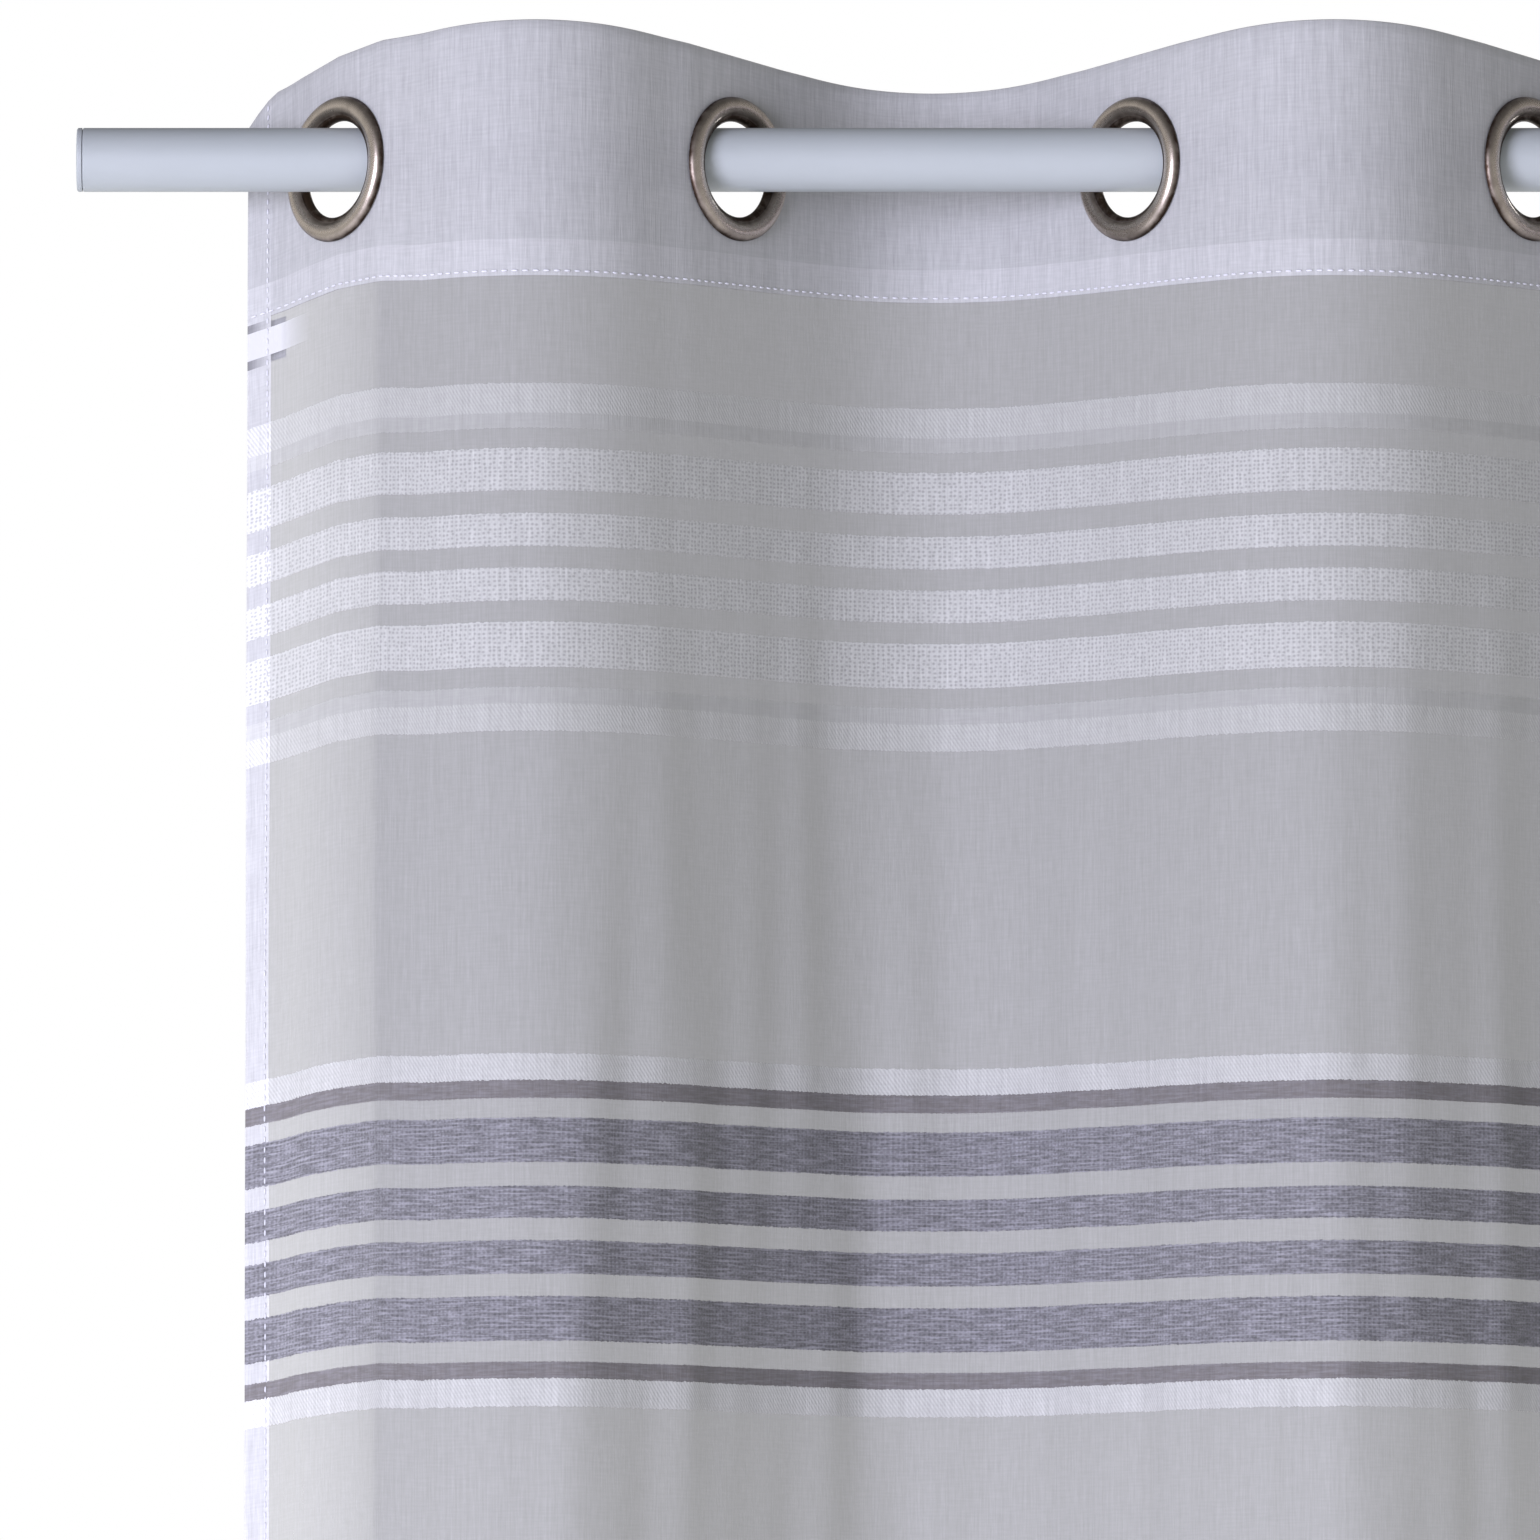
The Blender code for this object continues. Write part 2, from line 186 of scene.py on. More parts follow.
def hung(along, up, off=0.0):
    """Points of the hung cloth, `off` in front of its middle, for arrays of flat places."""
    along, up, off = np.broadcast_arrays(along, up, off)
    angle = wave_angle(along)
    y, z, lean = upright(up)
    x = FIRST_X + np.interp(along, TABLE_ALONG, TABLE_X) + off * np.sin(angle)
    wave = np.interp(along, TABLE_ALONG, TABLE_Y) - off * np.cos(angle)
    height = EYELET_Z + z - wave * from_list(up, SPLAY) - sag(along, up)
    return np.stack([x, y + wave * np.cos(lean), height], axis=-1)


crest = hung(SPACING / 2, -PANEL_BELOW)
print(f"front crests stand {-1000 * crest[1]:.1f} mm before the rod's axis")

# %% [markdown]
# ## Creases and slack
# A pressed panel is never as even as the formula. It has a soft crease where each eyelet's flat patch ends,
# and below the header, where nothing holds it, the cloth drifts a millimetre or two out of its plane in
# long upright ripples. Each is a small distance off the smooth cloth. They fade to nothing at the metal.
# A cloth simulation could find such ripples too, but the folds are held by the eyelets and a smooth
# formula costs nothing, joins without a seam from piece to piece and gives the same result each time.

# %% Small offsets that make the cloth look hung
CREASE = 0.0012
CREASE_REACH = 0.016
SLACK_GROWS = 0.35  # the ripples reach their full size this far below the header
RIPPLES = ((0.0011, 0.071, 1.9, 0.4), (0.0008, 0.043, 3.1, 2.1), (0.0005, 0.027, 4.3, 5.0))


def crease(along):
    fold = np.floor(along / SPACING)
    within = along - fold * SPACING
    from_patch = np.maximum(np.minimum(within, SPACING - within) - CLAMPED, 0) / CREASE_REACH
    uneven = 0.75 + 0.35 * np.sin(2.4 * fold + 1.0)
    side = np.where(fold % 2 == 0, -1, 1)
    return side * uneven * CREASE * from_patch * np.exp(1 - from_patch)


def slack(along, up):
    """Long upright ripples, growing down from the header: (size, width, sway with height, start)."""
    grown = np.clip((-up - HEADER_BELOW) / SLACK_GROWS, 0, 1)
    grown = grown * grown * (3 - 2 * grown)
    total = 0
    for size, width, sway, start in RIPPLES:
        drift = 0.35 * np.sin(sway * up + start) + 0.2 * np.sin(2.3 * sway * up + 7 * along)
        total = total + size * np.sin(2 * np.pi * (along / width + drift) + start)
    return total * grown


def drape(along, up):
    return crease(along) + slack(along, up)


print(f"ripples stay under {1000 * sum(size for size, *_ in RIPPLES):.1f} mm")

# %% [markdown]
# ## Helpers
# Colours are given as hex values, as a screen shows them, which are sRGB. Blender's nodes add up real
# light, so one function turns them to linear values. Another one adds a node, and every material below is
# built with it: it gives back an output of the node, ready to be an input of the next one.

# %% Colour and node helpers


def linear(colour):
    """An sRGB hex colour as linear red, green, blue and alpha."""
    parts = [int(colour[i : i + 2], 16) / 255 for i in (1, 3, 5)]
    return (*[c / 12.92 if c <= 0.04045 else ((c + 0.055) / 1.055) ** 2.4 for c in parts], 1.0)


def add_node(tree, kind, settings, output=0):
    """Add a node with its settings and links, and return one of its outputs.

    A setting is an input, by its name or number, or a property. An input takes a value or the output of
    another node. A ramp's `stops` are the (position, colour) pairs at which its hard steps begin.
    """
    node = tree.nodes.new("ShaderNode" + kind)
    for name, value in settings.items():
        if isinstance(value, bpy.types.NodeSocket):
            tree.links.new(value, node.inputs[name])
        elif isinstance(name, int) or name in node.inputs:
            node.inputs[name].default_value = value
        elif name != "stops":
            setattr(node, name, value)
    if "stops" in settings:
        ramp = node.color_ramp
        ramp.interpolation = "CONSTANT"
        ramp.elements.remove(ramp.elements[1])
        ramp.elements[0].position, ramp.elements[0].color = settings["stops"][0]
        for position, colour in settings["stops"][1:]:
            ramp.elements.new(position).color = colour
    return node.outputs[output]


def new_material(name, settings):
    """A material with one Principled shader, and the sockets that are the same all over it."""
    material = bpy.data.materials.new(name)
    material.use_nodes = True
    shader = material.node_tree.nodes["Principled BSDF"]
    for socket, value in settings.items():
        shader.inputs[socket].default_value = value
    return material, material.node_tree, shader


def finish(tree, shader, tones, share, relief, strength, distance):
    """Colour between two tones by a pattern's share, and fine relief from a pattern's height."""
    dark, pale = (linear(tone) for tone in tones)
    colour = add_node(tree, "Mix", {"data_type": "RGBA", 0: share, 6: dark, 7: pale}, 2)
    tree.links.new(colour, shader.inputs["Base Color"])
    normal = add_node(tree, "Bump", {"Strength": strength, "Distance": distance, "Height": relief})
    tree.links.new(normal, shader.inputs["Normal"])


print("grey #808080 is", round(linear("#808080")[0], 3), "in linear light")

# %% [markdown]
# ## The woven bands
# The cloth is a polyester voile: a thin, open plain weave with slubs, which are thicker places in the warp,
# so it shows fine upright streaks. Groups of dense bands are woven across it: a white group and a dark
# group in turn. Each group starts and ends with a narrow twill, whose threads make slanting lines, and
# holds basket-weave bands, in which the gaps between threads show as rows of dots.
#
# The bands are a list of depths in millimetres, as a weaver's pattern would give them. Colour ramps with
# hard steps read it. The renderer stores a ramp as 256 equal parts, so each group gets a ramp of its own,
# which puts a band's edge within half a millimetre, and gives the number of the band's kind. Three short
# ramps then turn a kind's number into its colour, its weave and its cover.

# %% The weaver's pattern
REPEAT = 522.0  # one white group, one dark group and the plain cloth below each
FIRST_BAND = 89.4  # below the eyelets' centres
# Each kind has a colour, then how much basket weave, twill and blended yarn it shows, and its cover:
# 1 where the yarns lie close and nothing shows between them.
KINDS = {
    "voile": ("#8b8b8b", (0, 0, 0), 0.0),
    "light twill": ("#a3a3a1", (0, 1, 0), 0.5),
    "light plain": ("#a4a4a2", (0, 0, 0), 0.5),
    "white basket": ("#bebebc", (1, 0, 0), 0.6),
    "white twill": ("#a9a9a8", (0, 1, 0), 0.6),
    "dark basket": ("#6b6a6d", (1, 0, 1), 1.0),
    "dark plain": ("#6f6b6a", (0, 0, 0.3), 1.0),
}
BANDS = [  # each band starts at this depth and runs to the next one
    (0.0, "light twill"),
    (11.2, "light plain"),
    (17.2, "voile"),
    (24.9, "white basket"),
    (41.5, "voile"),
    (50.2, "white basket"),
    (63.1, "voile"),
    (71.4, "white basket"),
    (84.2, "voile"),
    (92.7, "white basket"),
    (109.8, "voile"),
    (117.6, "light plain"),
    (124.4, "light twill"),
    (134.7, "voile"),
    (259.6, "white twill"),
    (270.0, "dark plain"),
    (277.0, "voile"),
    (284.4, "dark basket"),
    (301.9, "voile"),
    (310.8, "dark basket"),
    (323.4, "voile"),
    (332.2, "dark basket"),
    (344.9, "voile"),
    (353.5, "dark basket"),
    (370.7, "voile"),
    (378.8, "dark plain"),
    (385.6, "white twill"),
    (396.4, "voile"),
]
GROUPS = ((0.0, 135.0), (259.0, 397.0))  # each group's first and last depth
BETWEEN_GROUPS = 200.0
NUMBERS = {kind: (i + 0.5) / len(KINDS) for i, kind in enumerate(KINDS)}
print(f"{len(BANDS)} bands in a repeat of {REPEAT} mm")


def band_number(tree, up):
    """The number, from 0 to 1, of the kind of band at a height."""
    below = add_node(tree, "Math", {"operation": "MULTIPLY_ADD", 0: up, 1: -1.0, 2: -FIRST_BAND})
    below = add_node(tree, "Math", {"operation": "MAXIMUM", 0: below, 1: -BETWEEN_GROUPS / 2})
    repeats = add_node(tree, "Math", {"operation": "DIVIDE", 0: below, 1: REPEAT})
    share = add_node(tree, "Math", {"operation": "FRACT", 0: repeats})
    place = add_node(tree, "Math", {"operation": "MULTIPLY", 0: share, 1: REPEAT})
    numbers = []
    for first, last in GROUPS:
        within = [(start, kind) for start, kind in BANDS if first <= start <= last]
        stops = [((start - first) / (last - first), (NUMBERS[kind],) * 3 + (1,)) for start, kind in within]
        if first > 0:
            stops.insert(0, (0.0, (NUMBERS["voile"],) * 3 + (1,)))
        down_group = add_node(tree, "MapRange", {0: place, 1: first, 2: last, 3: 0.0, 4: 1.0})
        ramp = add_node(tree, "ValToRGB", {"Fac": down_group, "stops": stops})
        numbers.append(add_node(tree, "SeparateColor", {0: ramp}))
    lower = add_node(tree, "Math", {"operation": "GREATER_THAN", 0: place, 1: BETWEEN_GROUPS})
    step = add_node(tree, "Math", {"operation": "SUBTRACT", 0: numbers[1], 1: numbers[0]})
    return add_node(tree, "Math", {"operation": "MULTIPLY_ADD", 0: step, 1: lower, 2: numbers[0]})


def band_look(tree, number):
    """A band's colour, its shares of basket weave, twill and blended yarn, and its cover."""
    looks = [(linear(colour), (*weave, 1), (cover,) * 3 + (1,)) for colour, weave, cover in KINDS.values()]
    ramps = []
    for values in zip(*looks):
        stops = [(i / len(KINDS), value) for i, value in enumerate(values)]
        ramps.append(add_node(tree, "ValToRGB", {"Fac": number, "stops": stops}))
    basket, twill, blended = add_node(tree, "SeparateColor", {0: ramps[1]}).node.outputs
    return ramps[0], basket, twill, blended, add_node(tree, "SeparateColor", {0: ramps[2]})


# %% [markdown]
# ## The cloth's unevenness
# Each vertex keeps its flat place in the cloth, in millimetres, in an attribute called `flat`. The nodes
# read only that, so threads run with the cloth round every fold.
# - Threads in a voile are about 0.3 mm apart, too fine to show, so the streaks stand for bundles of them.
# - Slubs are upright streaks a millimetre or two wide and several centimetres long.
# - Each yarn ends a little higher or lower than the next, so a band's edge is slightly ragged.
# - The dark bands are woven from two greys of yarn, which show as long streaks across and short flecks.
# All of them are the same noise, stretched over the cloth by different amounts.

# %% Noise in the cloth
UNEVENNESS = {  # waves in a millimetre across and up, detail and roughness, then what range becomes what
    "yarn ends": ((0.9, 0.03), (2.0, 0.5), (0.0, 1.0), (-0.6, 0.6)),  # millimetres up or down
    "slub": ((0.42, 0.011), (4.0, 0.7), (0.3, 0.72), (0.93, 1.07)),
    "thread": ((1.4, 0.09), (2.0, 0.5), (0.3, 0.7), (0.93, 1.07)),
    "weft": ((0.09, 1.2), (2.0, 0.5), (0.3, 0.7), (0.96, 1.04)),
    "streak": ((0.085, 1.15), (3.0, 0.6), (0.40, 0.68), (0.0, 0.8)),
    "fleck": ((0.5, 0.65), (3.0, 0.65), (0.45, 0.7), (0.0, 0.6)),
}


def unevenness(tree, flat):
    """Each kind of unevenness by its name, and the height of the single threads."""
    found = {}
    for name, (waves, (detail, roughness), (low, high), (to_low, to_high)) in UNEVENNESS.items():
        place = add_node(tree, "VectorMath", {"operation": "MULTIPLY", 0: flat, 1: (*waves, 0)})
        look = {"noise_dimensions": "2D", "Scale": 1.0, "Detail": detail, "Roughness": roughness}
        noise = add_node(tree, "TexNoise", {**look, "Vector": place})
        found[name] = add_node(tree, "MapRange", {0: noise, 1: low, 2: high, 3: to_low, 4: to_high})
        if name == "thread":
            height = noise
    return found, height


print("the cloth is uneven in its", ", ".join(UNEVENNESS))


# %% [markdown]
# ## Two weaves
# - The basket's dots are 2.1 mm apart across and 1.7 mm down: a slightly uneven lattice with one dot for
#   each gap between yarns.
# - The twill's slanting lines are 1.6 mm apart.

# %% Basket gaps and twill ridges
BASKET_PITCH = (2.1, 1.7)
BASKET_UNEVEN = 0.36
TWILL_PITCH = 1.6
TWILL_SLOPE = 0.7


def weaves(tree, flat, basket, twill):
    """How far a place lies in a gap of the basket weave, and on a ridge of the twill."""
    waves = (1 / BASKET_PITCH[0], 1 / BASKET_PITCH[1], 0)
    lattice = add_node(tree, "VectorMath", {"operation": "MULTIPLY", 0: flat, 1: waves})
    look = {"voronoi_dimensions": "2D", "Scale": 1.0, "Randomness": BASKET_UNEVEN}
    cell = add_node(tree, "TexVoronoi", {**look, "Vector": lattice}, "Distance")
    dot = add_node(tree, "MapRange", {0: cell, 1: 0.14, 2: 0.42, 3: 1.0, 4: 0.0})
    slanted = (1 / TWILL_PITCH, TWILL_SLOPE / TWILL_PITCH, 0)
    slant = add_node(tree, "VectorMath", {"operation": "DOT_PRODUCT", 0: flat, 1: slanted}, "Value")
    ridge = add_node(tree, "Math", {"operation": "PINGPONG", 0: slant, 1: 0.5})
    return [add_node(tree, "Math", {"operation": "MULTIPLY", 0: shape, 1: share})
            for shape, share in ((dot, basket), (ridge, twill))]


print(f"{SPACING * 1000 / BASKET_PITCH[0]:.0f} basket gaps from eyelet to eyelet")


# %% [markdown]
# ## Where the cloth lies double or hangs loose
# The header, its turned-in edge and the hems have one or more layers behind them. They let less light
# through, scatter more of it, and look whiter. Past the outer eyelets nothing pulls on the cloth, so it lies
# more open there, and it is also painted lighter there: painted light on the free edges. A mask is 1 in such
# a place and 0 elsewhere; the one for the loose cloth fades between them.

# %% Masks for the layers
HEM_EDGE = 0.4  # the whiter cloth starts this many millimetres inside the side hem


def place_masks(tree, along, up):
    """The masks, by name, from a place's two lengths in the flat cloth."""
    found = {"header": add_node(tree, "Math", {"operation": "GREATER_THAN", 0: up, 1: -1000 * HEADER_BELOW})}
    raw_edge = 1000 * (TURN_IN - HEADER_BELOW)
    turned = add_node(tree, "Math", {"operation": "LESS_THAN", 0: up, 1: raw_edge})
    found["turn_in"] = add_node(tree, "Math", {"operation": "MULTIPLY", 0: found["header"], 1: turned})
    hem_top = 1000 * (BOTTOM_HEM - PANEL_BELOW)
    found["bottom"] = add_node(tree, "Math", {"operation": "LESS_THAN", 0: up, 1: hem_top})
    middle_along = 1000 * LAST_ALONG / 2
    across = add_node(tree, "Math", {"operation": "SUBTRACT", 0: along, 1: middle_along})
    from_middle = add_node(tree, "Math", {"operation": "ABSOLUTE", 0: across})
    hem_inside = 1000 * (PANEL_WIDTH / 2 - SIDE_HEM) - HEM_EDGE
    found["side"] = add_node(tree, "Math", {"operation": "GREATER_THAN", 0: from_middle, 1: hem_inside})
    free = add_node(tree, "Math", {"operation": "MULTIPLY_ADD", 0: found["header"], 1: -1.0, 2: 1.0})
    found["below_header"] = free
    inward = add_node(tree, "Math", {"operation": "MULTIPLY_ADD", 0: from_middle, 1: -1.0, 2: middle_along})
    loose_and_painted_light = add_node(tree, "MapRange", {0: inward, 1: -25.0, 2: 22.0, 3: 1.0, 4: 0.35})
    fades = add_node(tree, "MapRange", {0: inward, 1: 22.0, 2: 27.0, 3: 1.0, 4: 0.0})
    for share in (fades, free):
        loose_and_painted_light = add_node(tree, "Math", {"operation": "MULTIPLY", 0: loose_and_painted_light, 1: share})
    found["loose_and_painted_light"] = loose_and_painted_light
    return found


print(f"the cloth is double down to {1000 * HEADER_BELOW} mm below the eyelets' centres")


# %% [markdown]
# ## The cloth's material
# A voile is sheer because light goes through the holes between its threads. The holes are finer than a
# tenth of a millimetre, so they are drawn as alpha: the share of a place that thread covers. It is about
# 0.8 here, more where threads lie close or the cloth is double, as in the header and the hems. The gaps
# of the basket bands are painted darker, as painted shade between the yarns, in white and dark bands
# alike. Polyester yarn is dull when spun: a high roughness, a little sheen at grazing angles and an IOR of
# 1.5.
#
# The tone and the holes both start from the yarn, and each mask multiplies them by a sum: its share times
# one number, plus another.

# %% Voile material
HOLES = 0.18  # share of the plain voile that is open
LAYER_TONES = (("header", 1.12), ("turn_in", 0.30), ("bottom", 0.25))  # added to a tone of 1
SIDE_TONE = 1.0
STREAK_COLOUR, FLECK_COLOUR = "#a09fa6", "#8d8c93"


def cloth_material(name, label=False):
    settings = {"Roughness": 0.88, "Sheen Weight": 0.22, "Sheen Roughness": 0.5, "IOR": 1.5}
    material, tree, shader = new_material(name, settings)
    flat = add_node(tree, "Attribute", {"attribute_name": "flat"}, "Vector")
    along, up, _ = add_node(tree, "SeparateXYZ", {0: flat}).node.outputs
    uneven, thread_height = unevenness(tree, flat)
    yarn_up = add_node(tree, "Math", {"operation": "ADD", 0: up, 1: uneven["yarn ends"]})
    colour, basket, twill, blended, cover = band_look(tree, band_number(tree, yarn_up))
    gaps, ridges = weaves(tree, flat, basket, twill)
    mask = place_masks(tree, along, up)
    open_weave = add_node(tree, "Math", {"operation": "MULTIPLY_ADD", 0: cover, 1: -1.0, 2: 1.0})

    whiter = mask["side"]
    for share in (open_weave, mask["below_header"]):
        whiter = add_node(tree, "Math", {"operation": "MULTIPLY", 0: whiter, 1: share})
    layers = 1.0
    for place, more in LAYER_TONES:
        layers = add_node(tree, "Math", {"operation": "MULTIPLY_ADD", 0: mask[place], 1: more, 2: layers})
    # Painted light: the cloth is drawn lighter lower down, where more light falls on it, and darker near the
    # header.
    painted_light_lower_down = add_node(tree, "MapRange", {0: up, 1: -520.0, 2: -90.0, 3: 1.08, 4: 0.90})
    tone = uneven["slub"]
    for factor in (uneven["thread"], uneven["weft"], painted_light_lower_down, layers):
        tone = add_node(tree, "Math", {"operation": "MULTIPLY", 0: tone, 1: factor})
    # Painted light: the loose cloth past the outer eyelets is drawn a quarter lighter.
    # Painted shade: the basket's gaps are drawn about a third darker than its yarns.
    for share, more, start in ((whiter, SIDE_TONE, 1.0), (mask["loose_and_painted_light"], 0.25, 1.0), (gaps, -0.34, 1.06),
                               (ridges, 0.60, 0.86)):
        factor = add_node(tree, "Math", {"operation": "MULTIPLY_ADD", 0: share, 1: more, 2: start})
        tone = add_node(tree, "Math", {"operation": "MULTIPLY", 0: tone, 1: factor})

    for yarn, other in (("streak", STREAK_COLOUR), ("fleck", FLECK_COLOUR)):
        share = add_node(tree, "Math", {"operation": "MULTIPLY", 0: uneven[yarn], 1: blended})
        colour = add_node(tree, "Mix", {"data_type": "RGBA", 0: share, 6: colour, 7: linear(other)}, 2)
    toned = add_node(tree, "VectorMath", {"operation": "SCALE", 0: colour, "Scale": tone})

    # Thick yarn leaves smaller holes. Lower down and near the side edges they are larger.
    by_slub = {1: 0.93, 2: 1.07, 3: 1.06 * HOLES, 4: 0.94 * HOLES}
    holes = add_node(tree, "MapRange", {0: uneven["slub"], **by_slub})
    wider = add_node(tree, "MapRange", {0: up, 1: -520.0, 2: -330.0, 3: 1.25, 4: 1.0})
    for factor in (open_weave, wider):
        holes = add_node(tree, "Math", {"operation": "MULTIPLY", 0: holes, 1: factor})
    for place, more in (("header", -0.35), ("loose_and_painted_light", 1.1), ("side", -0.9)):
        factor = add_node(tree, "Math", {"operation": "MULTIPLY_ADD", 0: mask[place], 1: more, 2: 1.0})
        holes = add_node(tree, "Math", {"operation": "MULTIPLY", 0: holes, 1: factor})
    if label:
        toned, holes = label_shows_through(tree, along, up, toned, holes)
    alpha = add_node(tree, "Math", {"operation": "MULTIPLY_ADD", 0: holes, 1: -1.0, 2: 1.0})

    # The weave stands out by a tenth of a millimetre or so.
    relief = add_node(tree, "Math", {"operation": "MULTIPLY_ADD", 0: gaps, 1: -0.9, 2: ridges})
    relief = add_node(tree, "Math", {"operation": "ADD", 0: relief, 1: thread_height})
    normal = add_node(tree, "Bump", {"Strength": 0.35, "Distance": 0.0003, "Height": relief})
    for socket, value in (("Base Color", toned), ("Alpha", alpha), ("Normal", normal)):
        tree.links.new(value, shader.inputs[socket])
    return material


# %% [markdown]
# Behind the left edge lies the blank label. The sheer cloth lets it show as a pale patch between its two
# dark woven ends, which fades out where the label ends. Its heights are those of the flat cloth.

# %% The label seen through the cloth
LABEL_ZONE = (-87.5, -47.5)  # from its lowest to its highest millimetre
NOTHING, DARK_END, PALE = (0, 0, 0, 1), (0, 1, 0, 1), (1, 0, 0, 1)
LABEL_STOPS = [(0.0, NOTHING), (0.525, DARK_END), (0.615, PALE), (0.885, DARK_END), (0.965, NOTHING)]


def label_shows_through(tree, along, up, colour, holes):
    """The cloth's colour and holes, changed where the label lies behind it."""
    height = add_node(tree, "MapRange", {0: up, 1: LABEL_ZONE[0], 2: LABEL_ZONE[1], 3: 0.0, 4: 1.0})
    zone = add_node(tree, "ValToRGB", {"Fac": height, "stops": LABEL_STOPS})
    pale, dark, _ = add_node(tree, "SeparateColor", {0: zone}).node.outputs
    reach = add_node(tree, "MapRange", {0: along, 1: -34.0, 2: -17.0, 3: 1.0, 4: 0.0})
    ends_reach = add_node(tree, "MapRange", {0: along, 1: -50.0, 2: -40.0, 3: 0.8, 4: 0.0})
    pale = add_node(tree, "Math", {"operation": "MULTIPLY", 0: pale, 1: reach})
    for share in (reach, ends_reach):
        dark = add_node(tree, "Math", {"operation": "MULTIPLY", 0: dark, 1: share})
    for share, other in ((pale, "#cfcfce"), (dark, "#5c5b60")):
        colour = add_node(tree, "Mix", {"data_type": "RGBA", 0: share, 6: colour, 7: linear(other)}, 2)
    backed = add_node(tree, "Math", {"operation": "SUBTRACT", 0: 1.0, 1: pale})
    return colour, add_node(tree, "Math", {"operation": "MULTIPLY", 0: holes, 1: backed})


VOILE = cloth_material("polyester_voile_woven_bands")
VOILE_LABEL = cloth_material("polyester_voile_over_label", label=True)
print("voile material:", len(VOILE.node_tree.nodes), "nodes")

# %% [markdown]
# ## One length of cloth, from the header's hem to the bottom hem
# The real panel is one piece of cloth. At the top it is folded to the back over the header tape, with its
# raw edge turned in, and at the bottom it is turned up and stitched. So the sheet is drawn as one line that
# starts inside the header's hem, goes up the back, over the top, down the front, and up again in the
# bottom hem. Sweeping that line along the wave gives every layer in one mesh.
#
# The panel is cut into nine pieces at the eyelets' centres, where the cloth is flat and clamped.

# %% The sheet's line, as rows of (up, off, place in the flat cloth)
LAYER = 0.00035  # thickness of the voile
FRONT, INSIDE, BACK = 0.0003, -0.0001, -0.0005  # how far the layers lie off the middle
HEM_TURN_IN = 0.010  # its last row isn't drawn, so about half of it is
ROLL = 0.0004
HEADER_ROW = 0.0042
DROP_ROW = 0.015
FINE_DOWN_TO = -1.4 * HEADER_BELOW  # rows lie close together down to here


def spread(start, end, step):
    """Even places from start up to, but without, the end."""
    count = max(1, round(abs(end - start) / step))
    return [start + (end - start) * i / count for i in range(count)]


def sheet_rows():
    top, seam, bottom = TOP_MARGIN, -HEADER_BELOW, -PANEL_BELOW
    hem_top = bottom + BOTTOM_HEM
    line = [(u, INSIDE) for u in spread(seam + TURN_IN, seam + ROLL, HEADER_ROW)]
    line += [(seam + ROLL, INSIDE), (seam, (INSIDE + BACK) / 2)]
    line += [(u, BACK) for u in spread(seam + ROLL, top - ROLL, HEADER_ROW)]
    line += [(top - ROLL, BACK), (top, (BACK + FRONT) / 2)]
    line += [(u, FRONT) for u in spread(top - ROLL, seam, HEADER_ROW)]
    line += [(u, FRONT) for u in spread(seam, FINE_DOWN_TO, HEADER_ROW)]
    line += [(u, FRONT) for u in spread(FINE_DOWN_TO, bottom + ROLL, DROP_ROW)]
    line += [(bottom + ROLL, FRONT), (bottom, (BACK + FRONT) / 2)]
    line += [(u, BACK) for u in spread(bottom + ROLL, hem_top - ROLL, DROP_ROW)]
    line += [(hem_top - ROLL, BACK), (hem_top, (INSIDE + BACK) / 2)]
    line += [(u, INSIDE) for u in spread(hem_top - ROLL, hem_top - HEM_TURN_IN, HEADER_ROW)]
    up, off = np.array(line).T
    walked = np.concatenate([[0], np.cumsum(np.abs(np.diff(up)))])
    first_front = int(np.argmax(off == FRONT))
    return up, off, up[first_front] + walked[first_front] - walked


ROW_UP, ROW_OFF, ROW_FLAT = sheet_rows()

# %% Sweep the line along the wave
COLUMN = 0.0045
HOLE = 0.0235  # radius of the hole in the cloth, under the metal
CUT_AWAY = 0.0225


def grid_mesh(name, points, flat, keep, material):
    """A mesh from a grid of points, without the faces that keep is False for."""
    rows, columns = points.shape[:2]
    index = np.arange(rows * columns).reshape(rows, columns)
    corners = [index[:-1, :-1], index[1:, :-1], index[1:, 1:], index[:-1, 1:]]
    faces = np.stack(corners, axis=-1)[keep]
    mesh = bpy.data.meshes.new(name)
    mesh.from_pydata(points.reshape(-1, 3).tolist(), [], faces.tolist())
    attribute = mesh.attributes.new("flat", "FLOAT_VECTOR", "POINT")
    attribute.data.foreach_set("vector", flat.reshape(-1, 3).astype(np.float32).ravel())
    bm = bmesh.new()
    bm.from_mesh(mesh)
    bmesh.ops.delete(bm, geom=[v for v in bm.verts if not v.link_faces], context="VERTS")
    bm.to_mesh(mesh)
    bm.free()
    mesh.materials.append(material)
    mesh.shade_smooth()
    piece = bpy.data.objects.new(name, mesh)
    bpy.context.scene.collection.objects.link(piece)
    return piece


